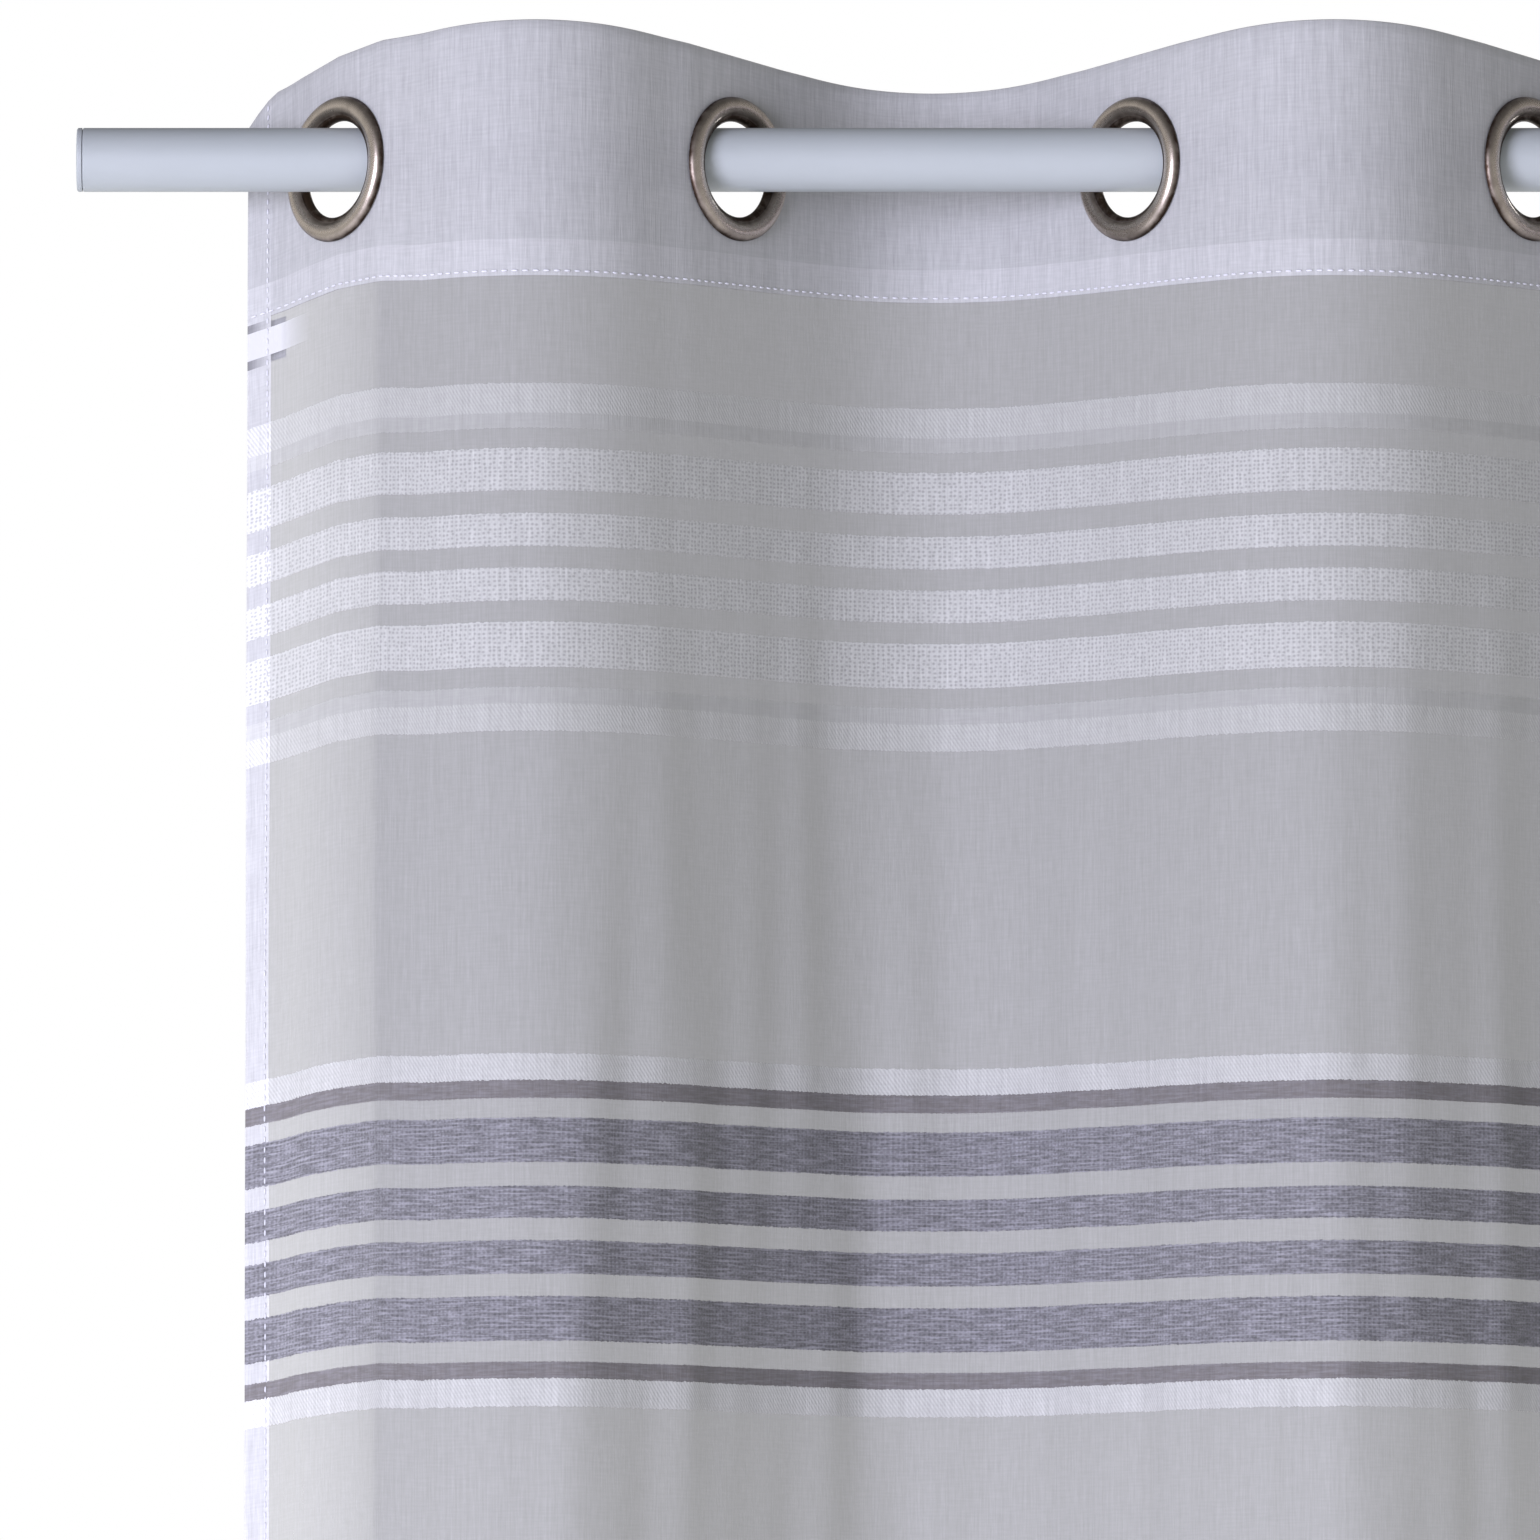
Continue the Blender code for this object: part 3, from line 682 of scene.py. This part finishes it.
def panel_piece(name, start, end, material):
    """The whole height of the cloth between two places along it, with the eyelets' holes."""
    columns = np.append(spread(start, end, COLUMN), end)
    along, up = np.meshgrid(columns, ROW_UP)
    centre = np.round(along / SPACING) * SPACING
    centre = np.clip(centre, 0, LAST_ALONG)
    radius = np.hypot(along - centre, up)
    gone = radius < CUT_AWAY
    inner = np.maximum.reduce([gone[:-1, :-1], gone[1:, :-1], gone[1:, 1:], gone[:-1, 1:]])
    rim = np.zeros_like(gone)
    for rows, cols in ((slice(0, -1), slice(0, -1)), (slice(1, None), slice(0, -1)),
                       (slice(1, None), slice(1, None)), (slice(0, -1), slice(1, None))):
        rim[rows, cols] |= inner
    rim &= ~gone
    pull = np.where(rim, HOLE / np.maximum(radius, HOLE / 2), 1)
    along = centre + (along - centre) * pull
    up = up * pull
    points = hung(along, up, ROW_OFF[:, None] + drape(along, up))
    flat = np.stack([1000 * along, 1000 * (ROW_FLAT[:, None] + 0 * along), 0 * along], axis=-1)
    piece = grid_mesh(name, points, flat, ~inner, material)
    return piece


print(f"a hole of {2000 * HOLE:.0f} mm is cut for each eyelet")

# %% [markdown]
# ## Stitches
# Hems are sewn with white polyester thread. On the face of the cloth a lockstitch shows as a row of short
# dashes with a pinhole between them: 2.6 mm of thread in every 4.1 mm. Each dash is a small round piece,
# because a painted line would look flat where it catches the light. All the dashes of a row are placed
# with the cloth's own map, so a row is one call.

# %% Thread and a row of stitches
STITCH = 0.0026
STITCH_PITCH = 0.0041
STITCH_HALF_WIDTH = 0.00042
STITCH_HEIGHT = 0.00030
HEADER_SEAM = 0.0018  # the header's stitches lie this far above its lower edge
BOTTOM_SEAM = 0.0025  # and the bottom hem's this far below its top


def thread_material():
    """Spun polyester thread, with the slant of its twist."""
    settings = {"Roughness": 0.6, "Sheen Weight": 0.2, "IOR": 1.5}
    material, tree, shader = new_material("polyester_thread_twisted", settings)
    flat = add_node(tree, "Attribute", {"attribute_name": "flat"}, "Vector")
    twist = add_node(tree, "VectorMath", {"operation": "DOT_PRODUCT", 0: flat, 1: (2.2, 2.2, 0)}, "Value")
    ply = add_node(tree, "Math", {"operation": "PINGPONG", 0: twist, 1: 0.5})
    finish(tree, shader, ("#d9d9e2", "#f6f6fa"), ply, ply, 0.4, 0.0002)
    return material


THREAD = thread_material()
SIDES = 6
LENGTHWISE = ((-0.5, 0.0), (-0.34, 0.8), (0.0, 1.0), (0.34, 0.8), (0.5, 0.0))  # (place, fatness)


def stitch_mesh(name, centres, upright_row, surface):
    """Dashes centred on (along, up) places, lying on a surface that is `surface` off the middle."""
    around = 2 * np.pi * np.arange(SIDES) / SIDES
    local = [(STITCH * at, STITCH_HALF_WIDTH * fat * math.cos(a), STITCH_HEIGHT * fat * math.sin(a))
             for at, fat in LENGTHWISE[1:-1] for a in around]
    local += [(STITCH * LENGTHWISE[0][0], 0, 0), (STITCH * LENGTHWISE[-1][0], 0, 0)]
    length, width, height = np.array(local).T
    if upright_row:
        length, width = width, length
    centres = np.array(centres)
    along = centres[:, :1] + length
    up = centres[:, 1:] + width
    points = hung(along, up, surface + height + drape(along, up)).reshape(-1, 3)
    rings = len(LENGTHWISE) - 2
    faces = []
    for ring in range(rings - 1):
        for i in range(SIDES):
            j = (i + 1) % SIDES
            faces.append((ring * SIDES + i, ring * SIDES + j, (ring + 1) * SIDES + j, (ring + 1) * SIDES + i))
    for i in range(SIDES):
        j = (i + 1) % SIDES
        faces.append((rings * SIDES, j, i))
        faces.append((rings * SIDES + 1, (rings - 1) * SIDES + i, (rings - 1) * SIDES + j))
    count = len(local)
    mesh = bpy.data.meshes.new(name)
    everywhere = [tuple(count * s + v for v in face) for s in range(len(centres)) for face in faces]
    mesh.from_pydata(points.tolist(), [], everywhere)
    attribute = mesh.attributes.new("flat", "FLOAT_VECTOR", "POINT")
    flat = np.stack([1000 * along, 1000 * up, 0 * along], axis=-1)
    attribute.data.foreach_set("vector", flat.astype(np.float32).ravel())
    bm = bmesh.new()
    bm.from_mesh(mesh)
    bmesh.ops.recalc_face_normals(bm, faces=bm.faces)
    bm.to_mesh(mesh)
    bm.free()
    mesh.materials.append(THREAD)
    mesh.shade_smooth()
    piece = bpy.data.objects.new(name, mesh)
    bpy.context.scene.collection.objects.link(piece)
    return piece


SEAM_UP = -HEADER_BELOW + HEADER_SEAM
BOTTOM_SEAM_UP = -PANEL_BELOW + BOTTOM_HEM - BOTTOM_SEAM
STITCH_GAP = 0.00008  # between the cloth's face and the middle of a stitch
ON_FRONT = FRONT + LAYER / 2 + STITCH_GAP


def cross_seams(name, start, end):
    """The header's and the bottom hem's rows of stitches between two places along the cloth."""
    first = math.ceil(start / STITCH_PITCH - 0.5) + 0.5
    alongs = np.arange(first * STITCH_PITCH, end, STITCH_PITCH)
    centres = [(a, u) for u in (SEAM_UP, BOTTOM_SEAM_UP) for a in alongs]
    return stitch_mesh(name, centres, False, ON_FRONT)


print(f"about {PANEL_WIDTH / STITCH_PITCH:.0f} stitches cross the header")

# %% [markdown]
# ## Hang the nine pieces
# The two ends of the panel ride with the outer eyelets. Every piece stands for the plain solids of the frame
# that it covers.

# %% Panel pieces
EDGE_LOW = -EDGE_MARGIN
EDGE_HIGH = LAST_ALONG + EDGE_MARGIN
CUT_WIDTH = PANEL_WIDTH + 4 * SIDE_HEM

left_panel = panel_piece("panel_edge_left", EDGE_LOW, 0.0, VOILE_LABEL)
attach(left_panel, "strip_1")
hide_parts("header_1", "skirt_1")
right_panel = panel_piece("panel_edge_right", LAST_ALONG, EDGE_HIGH, VOILE)
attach(right_panel, f"strip_{EYELETS}")
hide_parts(f"header_{EYELETS}", f"skirt_{EYELETS}")
left_seams = cross_seams("stitches_edge_left", EDGE_LOW, 0.0)
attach(left_seams, "strip_1")
right_seams = cross_seams("stitches_edge_right", LAST_ALONG, EDGE_HIGH)
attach(right_seams, f"strip_{EYELETS}")

for number in range(1, EYELETS):
    low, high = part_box(f"skirt_fold_{number}")
    panel = panel_piece(f"panel_fold_{number}", (number - 1) * SPACING, number * SPACING, VOILE)
    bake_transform(panel)
    stands_for = [f"header_fold_{number}", f"skirt_fold_{number}"]
    if number > 1:
        stands_for += [f"header_{number}", f"skirt_{number}"]
    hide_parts(*stands_for)
    seams = cross_seams(f"stitches_fold_{number}", (number - 1) * SPACING, number * SPACING)
    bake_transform(seams)
print(f"the whole panel is {PANEL_WIDTH:.3f} m wide and was cut {CUT_WIDTH:.3f} m wide")

# %% [markdown]
# ## Side hems
# Each side edge is folded to the back twice and sewn down from top to bottom, so it lies three layers thick
# and its seam shows as a long upright row of stitches. The hem is a narrow strip of its own here: a line
# across it, with its fold at the outer edge, swept down the cloth.

# %% Side hems and their seams
SIDE_SEAM = SIDE_HEM - 0.0012
HEM_STRIP = 0.0085  # the turned strip stops short of the seam allowance
HEM_BEHIND = 0.0009  # the strip's layers lie this far behind the panel's


def side_hem(name, edge, inward):
    """A folded strip behind the panel's edge; inward is 1 on the left and -1 on the right."""
    near, far = INSIDE - HEM_BEHIND, BACK - HEM_BEHIND
    fold = (0.0006, near - 0.0002)
    line = [(HEM_STRIP - 0.0010, near), (0.0016, near), fold, (0.0016, far), (HEM_STRIP, far)]
    rows = np.array([*spread(TOP_MARGIN - ROLL, FINE_DOWN_TO, HEADER_ROW),
                     *spread(FINE_DOWN_TO, -PANEL_BELOW + ROLL, DROP_ROW), -PANEL_BELOW + ROLL])
    inner, off = np.array(line).T
    along, up = np.meshgrid(edge + inward * inner, rows)
    points = hung(along, up, off + drape(along, up))
    flat = np.stack([1000 * along, 1000 * up, 0 * along], axis=-1)
    keep = np.ones((len(rows) - 1, len(inner) - 1), bool)
    return grid_mesh(name, points, flat, keep, VOILE)


SEAM_PLACES = np.arange(TOP_MARGIN - 0.004, -PANEL_BELOW, -STITCH_PITCH)
EDGES = (("left", EDGE_LOW, 1, "strip_1"), ("right", EDGE_HIGH, -1, f"strip_{EYELETS}"))
for side, edge, inward, body in EDGES:
    hem = side_hem(f"side_hem_{side}_folded", edge, inward)
    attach(hem, body)
    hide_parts(f"side_hem_{side}")
    seam_along = edge + inward * SIDE_SEAM
    seam = stitch_mesh(f"side_stitches_{side}", [(seam_along, u) for u in SEAM_PLACES], True, ON_FRONT)
    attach(seam, body)
print("side hems", 1000 * SIDE_HEM, "mm wide")

# %% [markdown]
# ## The eyelets
# An eyelet has two halves that snap together through the cloth. The front one is a domed flange that runs
# over into a barrel with a rolled lip, and the back one is a plain domed washer. Both are spun from one
# outline, so they are drawn that way: a curve of (radius, height) points, turned round the ring's axis.
# They are pressed steel with an antique nickel plating. Nickel is a warm grey metal. The antique finish is
# a dark brown stain that is wiped off the high edges and stays in the hollows, so each vertex carries an
# attribute, `worn`, that says how high it stands: pale and polished at 1, brown and dull at 0.

# %% Antique nickel


def nickel_material():
    """Antique nickel: brown stain in the hollows, bright where it is wiped, and fine brushing marks."""
    material, tree, shader = new_material("nickel_plated_steel_antiqued", {"Metallic": 1.0, "Roughness": 0.3})
    place = add_node(tree, "TexCoord", {}, "Object")
    worn = add_node(tree, "Attribute", {"attribute_name": "worn"}, "Fac")
    cloudy = add_node(tree, "TexNoise", {"Scale": 160.0, "Detail": 4.0, "Roughness": 0.6, "Vector": place})
    blotch = add_node(tree, "MapRange", {0: cloudy, 1: 0.3, 2: 0.7, 3: -0.22, 4: 0.22})
    wiped = add_node(tree, "Math", {"operation": "ADD", "use_clamp": True, 0: worn, 1: blotch})
    # Brushing marks are 0.05 mm apart; drawn at 0.4 mm so that they still break up the highlight.
    marks = add_node(tree, "TexNoise", {"Scale": 2500.0, "Detail": 2.0, "Vector": place})
    haze = add_node(tree, "MapRange", {0: marks, 1: 0.3, 2: 0.7, 3: 0.0, 4: 0.10})
    dull = add_node(tree, "MapRange", {0: wiped, 1: 0.0, 2: 1.0, 3: 0.40, 4: 0.22})
    rough = add_node(tree, "Math", {"operation": "ADD", 0: haze, 1: dull})
    tree.links.new(rough, shader.inputs["Roughness"])
    finish(tree, shader, ("#3c2f26", "#c4b8ac"), wiped, marks, 0.06, 0.0001)
    return material


NICKEL = nickel_material()
print("nickel material ready")

# %% Spin the two halves
RING_RADIUS = 0.028535
BARREL_RADIUS = 0.021135
HOLE_RADIUS = 0.018935
LIP_RADIUS = 0.0020
FACE = 0.0010  # the halves' flat faces, in front of and behind the cloth's middle
FRONT_DOME = 0.0031
BACK_DOME = 0.0022
DOME_END = 152  # degrees round the front dome to the edge of the barrel
DOME_POINTS = 15
LIP_ARC = (75, 275)  # degrees
LIP_POINTS = 13
SNAP_FIT = 0.0003  # the back washer's bore clears the barrel by this
WORN_FROM, WORN_OVER = 0.45, 0.5  # shares of a half's height: where the stain is wiped off
SPIN = 96


def arc(centre, radii, start, end, count):
    """Points of an ellipse's arc, as (radius, height), between two angles in degrees."""
    turn = np.radians(np.linspace(start, end, count))
    return list(zip(centre[0] + radii[0] * np.cos(turn), centre[1] + radii[1] * np.sin(turn)))


def front_outline():
    mid = (RING_RADIUS + BARREL_RADIUS) / 2
    half = (RING_RADIUS - BARREL_RADIUS) / 2
    dome = arc((mid, FACE), (half, FRONT_DOME), 0, DOME_END, DOME_POINTS)
    lip = arc((HOLE_RADIUS + LIP_RADIUS, 0.0), (LIP_RADIUS, LIP_RADIUS), *LIP_ARC, LIP_POINTS)
    return [*dome, (BARREL_RADIUS - 0.0002, FACE + 0.42 * FRONT_DOME), *lip, (BARREL_RADIUS, -LIP_RADIUS),
            (BARREL_RADIUS, FACE)]


def back_outline():
    bore = BARREL_RADIUS + SNAP_FIT
    mid = (RING_RADIUS + bore) / 2
    half = (RING_RADIUS - bore) / 2
    return arc((mid, -FACE), (half, -BACK_DOME), 0, 180, DOME_POINTS)


def spun(name, outline, frame_matrix, material, segments=SPIN):
    """A closed outline of (radius, height) turned about a frame's z axis."""
    bm = bmesh.new()
    rings = []
    for i in range(segments):
        turn = Matrix.Rotation(2 * math.pi * i / segments, 4, "Z")
        rings.append([bm.verts.new(frame_matrix @ turn @ Vector((r, 0, h))) for r, h in outline])
    for ring, after in zip(rings, rings[1:] + rings[:1]):
        for i in range(len(outline)):
            j = (i + 1) % len(outline)
            bm.faces.new((ring[i], ring[j], after[j], after[i]))
    bmesh.ops.recalc_face_normals(bm, faces=bm.faces)
    mesh = bpy.data.meshes.new(name)
    bm.to_mesh(mesh)
    bm.free()
    mesh.materials.append(material)
    mesh.shade_smooth()
    mesh.set_sharp_from_angle(angle=math.radians(40))
    piece = bpy.data.objects.new(name, mesh)
    bpy.context.scene.collection.objects.link(piece)
    return piece


def ring_frame(number):
    """Axes at an eyelet's centre: x along the cloth, y up it and z out of its front."""
    along = (number - 1) * SPACING
    centre, beside, above = (Vector(hung(along + a, u)) for a, u in ((0, 0), (0.001, 0), (0, 0.001)))
    sideways = (beside - centre).normalized()
    upward = (above - centre).normalized()
    matrix = Matrix((sideways, upward, sideways.cross(upward))).transposed().to_4x4()
    matrix.translation = centre
    return matrix


for number in range(1, EYELETS + 1):
    for half, outline in (("front", front_outline()), ("back", back_outline())):
        ring = spun(f"eyelet_{number}_{half}_ring", outline, ring_frame(number), NICKEL)
        heights = np.abs([height for _, height in outline])
        worn = np.clip((heights / heights.max() - WORN_FROM) / WORN_OVER, 0, 1)
        attribute = ring.data.attributes.new("worn", "FLOAT", "POINT")
        attribute.data.foreach_set("value", np.tile(worn, SPIN).astype(np.float32))
        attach(ring, f"strip_{number}")
        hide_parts(f"eyelet_{number}_{half}")
gap = (middle("eyelet_1_front") - middle("eyelet_1_back")).length
print(f"{2 * EYELETS} eyelet halves; the frame's halves lie {1000 * gap:.1f} mm apart")

# %% [markdown]
# ## The rod and its plugs
# The rod is a steel tube of 25 mm with a wall of 1.2 mm, powder coated in a pale satin grey. Powder coating
# leaves a very fine orange peel: ripples about 1.5 mm across and a few hundredths of a millimetre deep.
# The plugs in its ends are moulded polyethylene in the same grey, with a small rounded edge.

# %% Paint and plastic


def paint_material():
    """Satin powder coat, with its orange peel and a slight clouding."""
    material, tree, shader = new_material("steel_tube_powder_coated", {"Roughness": 0.42, "IOR": 1.5})
    place = add_node(tree, "TexCoord", {}, "Object")
    peel = add_node(tree, "TexNoise", {"Scale": 650.0, "Detail": 2.0, "Vector": place})
    cloud = add_node(tree, "TexNoise", {"Scale": 14.0, "Detail": 3.0, "Vector": place})
    rough = add_node(tree, "MapRange", {0: cloud, 1: 0.3, 2: 0.7, 3: 0.38, 4: 0.46})
    tree.links.new(rough, shader.inputs["Roughness"])
    finish(tree, shader, ("#aab0b1", "#b1b6b7"), cloud, peel, 0.12, 0.0001)
    return material


def plug_material():
    """Moulded polyethylene, with the fine grain of its mould."""
    material, tree, shader = new_material("polyethylene_moulded", {"Roughness": 0.5, "IOR": 1.51})
    place = add_node(tree, "TexCoord", {}, "Object")
    grain = add_node(tree, "TexNoise", {"Scale": 1800.0, "Detail": 3.0, "Vector": place})
    finish(tree, shader, ("#a6abad", "#afb4b5"), grain, grain, 0.2, 0.0001)
    return material


PAINT = paint_material()
PLASTIC = plug_material()

# %% Rod and plugs
ROD_WALL = 0.0012
CHAMFER = 0.0003
TUBE_RINGS = 9
PLUG_SPIN = 64
PLUG_FIT = 0.0003  # between the plug and the tube
RIM = 0.0008  # the round edge of a plug
CORE = 0.0002  # a plug's outline stops this far from its axis
RIM_POINTS = 6
tube_low, tube_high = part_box("rod_tube")
ROD_RADIUS = (tube_high.z - tube_low.z) / 2
along_rod = Matrix.Rotation(math.pi / 2, 4, "Y")
wall_in = ROD_RADIUS - ROD_WALL
tube_places = np.linspace(tube_low.x + CHAMFER, tube_high.x - CHAMFER, TUBE_RINGS)
outside = [(ROD_RADIUS, x) for x in tube_places]
outline = [(ROD_RADIUS - CHAMFER, tube_low.x), *outside, (ROD_RADIUS - CHAMFER, tube_high.x),
           (wall_in, tube_high.x), (wall_in, tube_low.x)]
tube = spun("rod_tube_painted", outline, along_rod, PAINT)
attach(tube, "rod")
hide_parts("rod_tube")
for side, facing in (("left", -1), ("right", 1)):
    low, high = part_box(f"end_plug_{side}")
    outer = high.x if facing > 0 else -low.x
    inner = low.x if facing > 0 else -high.x
    flange_back = tube_high.x + PLUG_FIT
    rim = arc((ROD_RADIUS - RIM, outer - RIM), (RIM, RIM), 0, 90, RIM_POINTS)
    stem = wall_in - PLUG_FIT
    outline = [(CORE, outer), (CORE, inner), (stem - 0.0005, inner), (stem, inner + 0.0006),
               (stem, flange_back), (ROD_RADIUS, flange_back), *rim]
    plug_axis = Matrix.Rotation(facing * math.pi / 2, 4, "Y")
    plug = spun(f"end_plug_{side}_moulded", outline, plug_axis, PLASTIC, PLUG_SPIN)
    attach(plug, "rod")
    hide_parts(f"end_plug_{side}")
print(f"rod: {2000 * ROD_RADIUS:.0f} mm across and {tube_high.x - tube_low.x:.3f} m long")

# %% [markdown]
# ## The label
# A small blank tab of woven satin is caught in the left side seam, behind the cloth. Satin ribbon has fine
# cross ribs, about 0.25 mm apart, drawn here at 0.8 mm so that they show. Its free end curls back a little.

# %% Care label
RIB_PITCH = 0.8  # millimetres


def label_material():
    """Satin ribbon with cross ribs."""
    settings = {"Roughness": 0.45, "Sheen Weight": 0.3, "IOR": 1.5}
    material, tree, shader = new_material("satin_ribbon_woven", settings)
    flat = add_node(tree, "Attribute", {"attribute_name": "flat"}, "Vector")
    waves = (0.1, 1 / RIB_PITCH, 0)
    ribs = add_node(tree, "VectorMath", {"operation": "DOT_PRODUCT", 0: flat, 1: waves}, "Value")
    rib = add_node(tree, "Math", {"operation": "PINGPONG", 0: ribs, 1: 0.5})
    finish(tree, shader, ("#e4e5ef", "#f4f5fb"), rib, rib, 0.25, 0.0002)
    return material


LABEL_SIZE = (0.016, 0.016)
LABEL_TOP = -HEADER_BELOW - 0.0015
LABEL_THICK = 0.0003
LABEL_CURL = 0.0006
label_rows = np.linspace(LABEL_TOP, LABEL_TOP - LABEL_SIZE[1], 9)
label_columns = np.linspace(EDGE_LOW, EDGE_LOW + LABEL_SIZE[0], 13)
along, up = np.meshgrid(label_columns, label_rows)
curl = LABEL_CURL * ((along - EDGE_LOW) / LABEL_SIZE[0]) ** 3
label_off = BACK - HEM_BEHIND - LAYER - LABEL_THICK - curl
label_points = hung(along, up, label_off + drape(along, up))
keep_all = np.ones((len(label_rows) - 1, len(label_columns) - 1), bool)
label_flat = np.stack([1000 * along, 1000 * up, 0 * along], axis=-1)
label = grid_mesh("care_label_blank", label_points, label_flat, keep_all, label_material())
solid = label.modifiers.new("thickness", "SOLIDIFY")
solid.thickness = LABEL_THICK
solid.offset = 0
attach(label, "strip_1")
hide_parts("care_label")
print("label is blank and", 1000 * LABEL_SIZE[0], "mm wide")

# %% [markdown]
# ## The studio
# Product pictures of curtains are lit softly from the front, so that the folds read as gentle steps from
# light to shade. Here the world is the soft light: white all round the horizon and dimmer overhead. One
# large cool lamp to the front left lights the slopes that face it, and a wider one behind does the same for
# the back of the cloth. The floor is pale and matt, and glows a little, as if lit by lamps of its own.

# %% World
WHITE = (1, 1, 1, 1)
OVERHEAD = (0.26, 0.26, 0.265, 1)
FROM_LEFT, FROM_RIGHT, BACKDROP = 0.70, 0.44, 1.0  # strengths of the light and of what the camera sees

scene = bpy.context.scene
scene.view_settings.view_transform = "Standard"

world = bpy.data.worlds.new("studio")
scene.world = world
world.use_nodes = True
sky = world.node_tree
backdrop = sky.nodes["Background"]
direction = add_node(sky, "TexCoord", {}, "Generated")
sideways, _, rise = add_node(sky, "SeparateXYZ", {0: direction}).node.outputs
steep = add_node(sky, "MapRange", {0: rise, 1: 0.12, 2: 0.75, 3: 0.0, 4: 1.0})
shade = add_node(sky, "Mix", {"data_type": "RGBA", 0: steep, 6: WHITE, 7: OVERHEAD}, 2)
sky.links.new(shade, backdrop.inputs["Color"])
# The paper behind is lit on its own, brighter than the light that falls on the curtain, which is a little
# stronger from the left.
seen = add_node(sky, "LightPath", {}, "Is Camera Ray")
soft = add_node(sky, "MapRange", {0: sideways, 1: -1.0, 2: 1.0, 3: FROM_LEFT, 4: FROM_RIGHT})
strength = add_node(sky, "Mix", {"data_type": "FLOAT", 0: seen, 2: soft, 3: BACKDROP})
sky.links.new(strength, backdrop.inputs["Strength"])

print("world light", FROM_LEFT, "from the left and", FROM_RIGHT, "from the right")

# %% Floor
FLOOR_GAP = 0.035
FLOOR_SIZE = 60.0


def floor_material():
    """Matt emulsion on a studio floor, lit by lamps of its own, with the faint clouding of a roller."""
    settings = {"Roughness": 0.9, "Emission Color": WHITE, "Emission Strength": 0.32}
    material, tree, shader = new_material("floor_emulsion_rolled", settings)
    place = add_node(tree, "TexCoord", {}, "Object")
    cloud = add_node(tree, "TexNoise", {"Scale": 1.5, "Detail": 4.0, "Vector": place})
    tones = {6: linear("#ebebea"), 7: linear("#f0f0ef")}
    colour = add_node(tree, "Mix", {"data_type": "RGBA", 0: cloud, **tones}, 2)
    tree.links.new(colour, shader.inputs["Base Color"])
    return material


floor_mesh = bpy.data.meshes.new("floor")
half = FLOOR_SIZE / 2
floor_corners = [(-half, -half, 0), (half, -half, 0), (half, half, 0), (-half, half, 0)]
floor_mesh.from_pydata(floor_corners, [], [(0, 1, 2, 3)])
floor_mesh.materials.append(floor_material())
floor = bpy.data.objects.new("floor", floor_mesh)
floor.location.z = frame_box[0].z - FLOOR_GAP
scene.collection.objects.link(floor)
print(f"the floor lies {1000 * FLOOR_GAP:.0f} mm below the hem")

# %% Lamps
AIM = Vector((0, 0, -0.8))
LAMPS = (  # name, place, size, power, colour
    ("key", (-3.3, -4.8, -0.25), 2.8, 330, (0.80, 0.80, 1.0)),
    ("back_fill", (3.0, 5.0, 0.2), 3.5, 260, (1.0, 1.0, 1.0)),
)
for name, place, size, power, colour in LAMPS:
    lamp = bpy.data.lights.new(name, "AREA")
    lamp.shape = "DISK"
    lamp.size = size
    lamp.energy = power
    lamp.color = colour
    stand = bpy.data.objects.new(name, lamp)
    stand.location = place
    stand.rotation_euler = (AIM - stand.location).to_track_quat("-Z", "Y").to_euler()
    scene.collection.objects.link(stand)
print(len(LAMPS), "lamps")

# %% [markdown]
# ## The camera
# A long lens, far away and a little below the header, keeps the uprights parallel and looks slightly up.
# The frame is 600 mm wide at the rod. Its middle is 169 mm to the right of the first eyelet.

# %% Camera
VIEW_WIDTH = 0.6005
VIEW_RIGHT_OF_EYELET = 0.1687
VIEW_BELOW_ROD = 0.239
CAMERA_DISTANCE = 7.6
CAMERA_DROP = 0.534

camera_data = bpy.data.cameras.new("camera")
camera = bpy.data.objects.new("camera", camera_data)
scene.collection.objects.link(camera)
scene.camera = camera
target = Vector((FIRST_X + VIEW_RIGHT_OF_EYELET, 0, -VIEW_BELOW_ROD))
camera.location = target + Vector((0, -CAMERA_DISTANCE, -CAMERA_DROP))
camera.rotation_euler = (target - camera.location).to_track_quat("-Z", "Y").to_euler()
camera_data.lens = camera_data.sensor_width * (target - camera.location).length / VIEW_WIDTH
camera_data.clip_end = 100
print(f"lens {camera_data.lens:.0f} mm")

# %% Sizes and finish
print("frame", [round(v, 4) for corner in frame_box for v in corner])
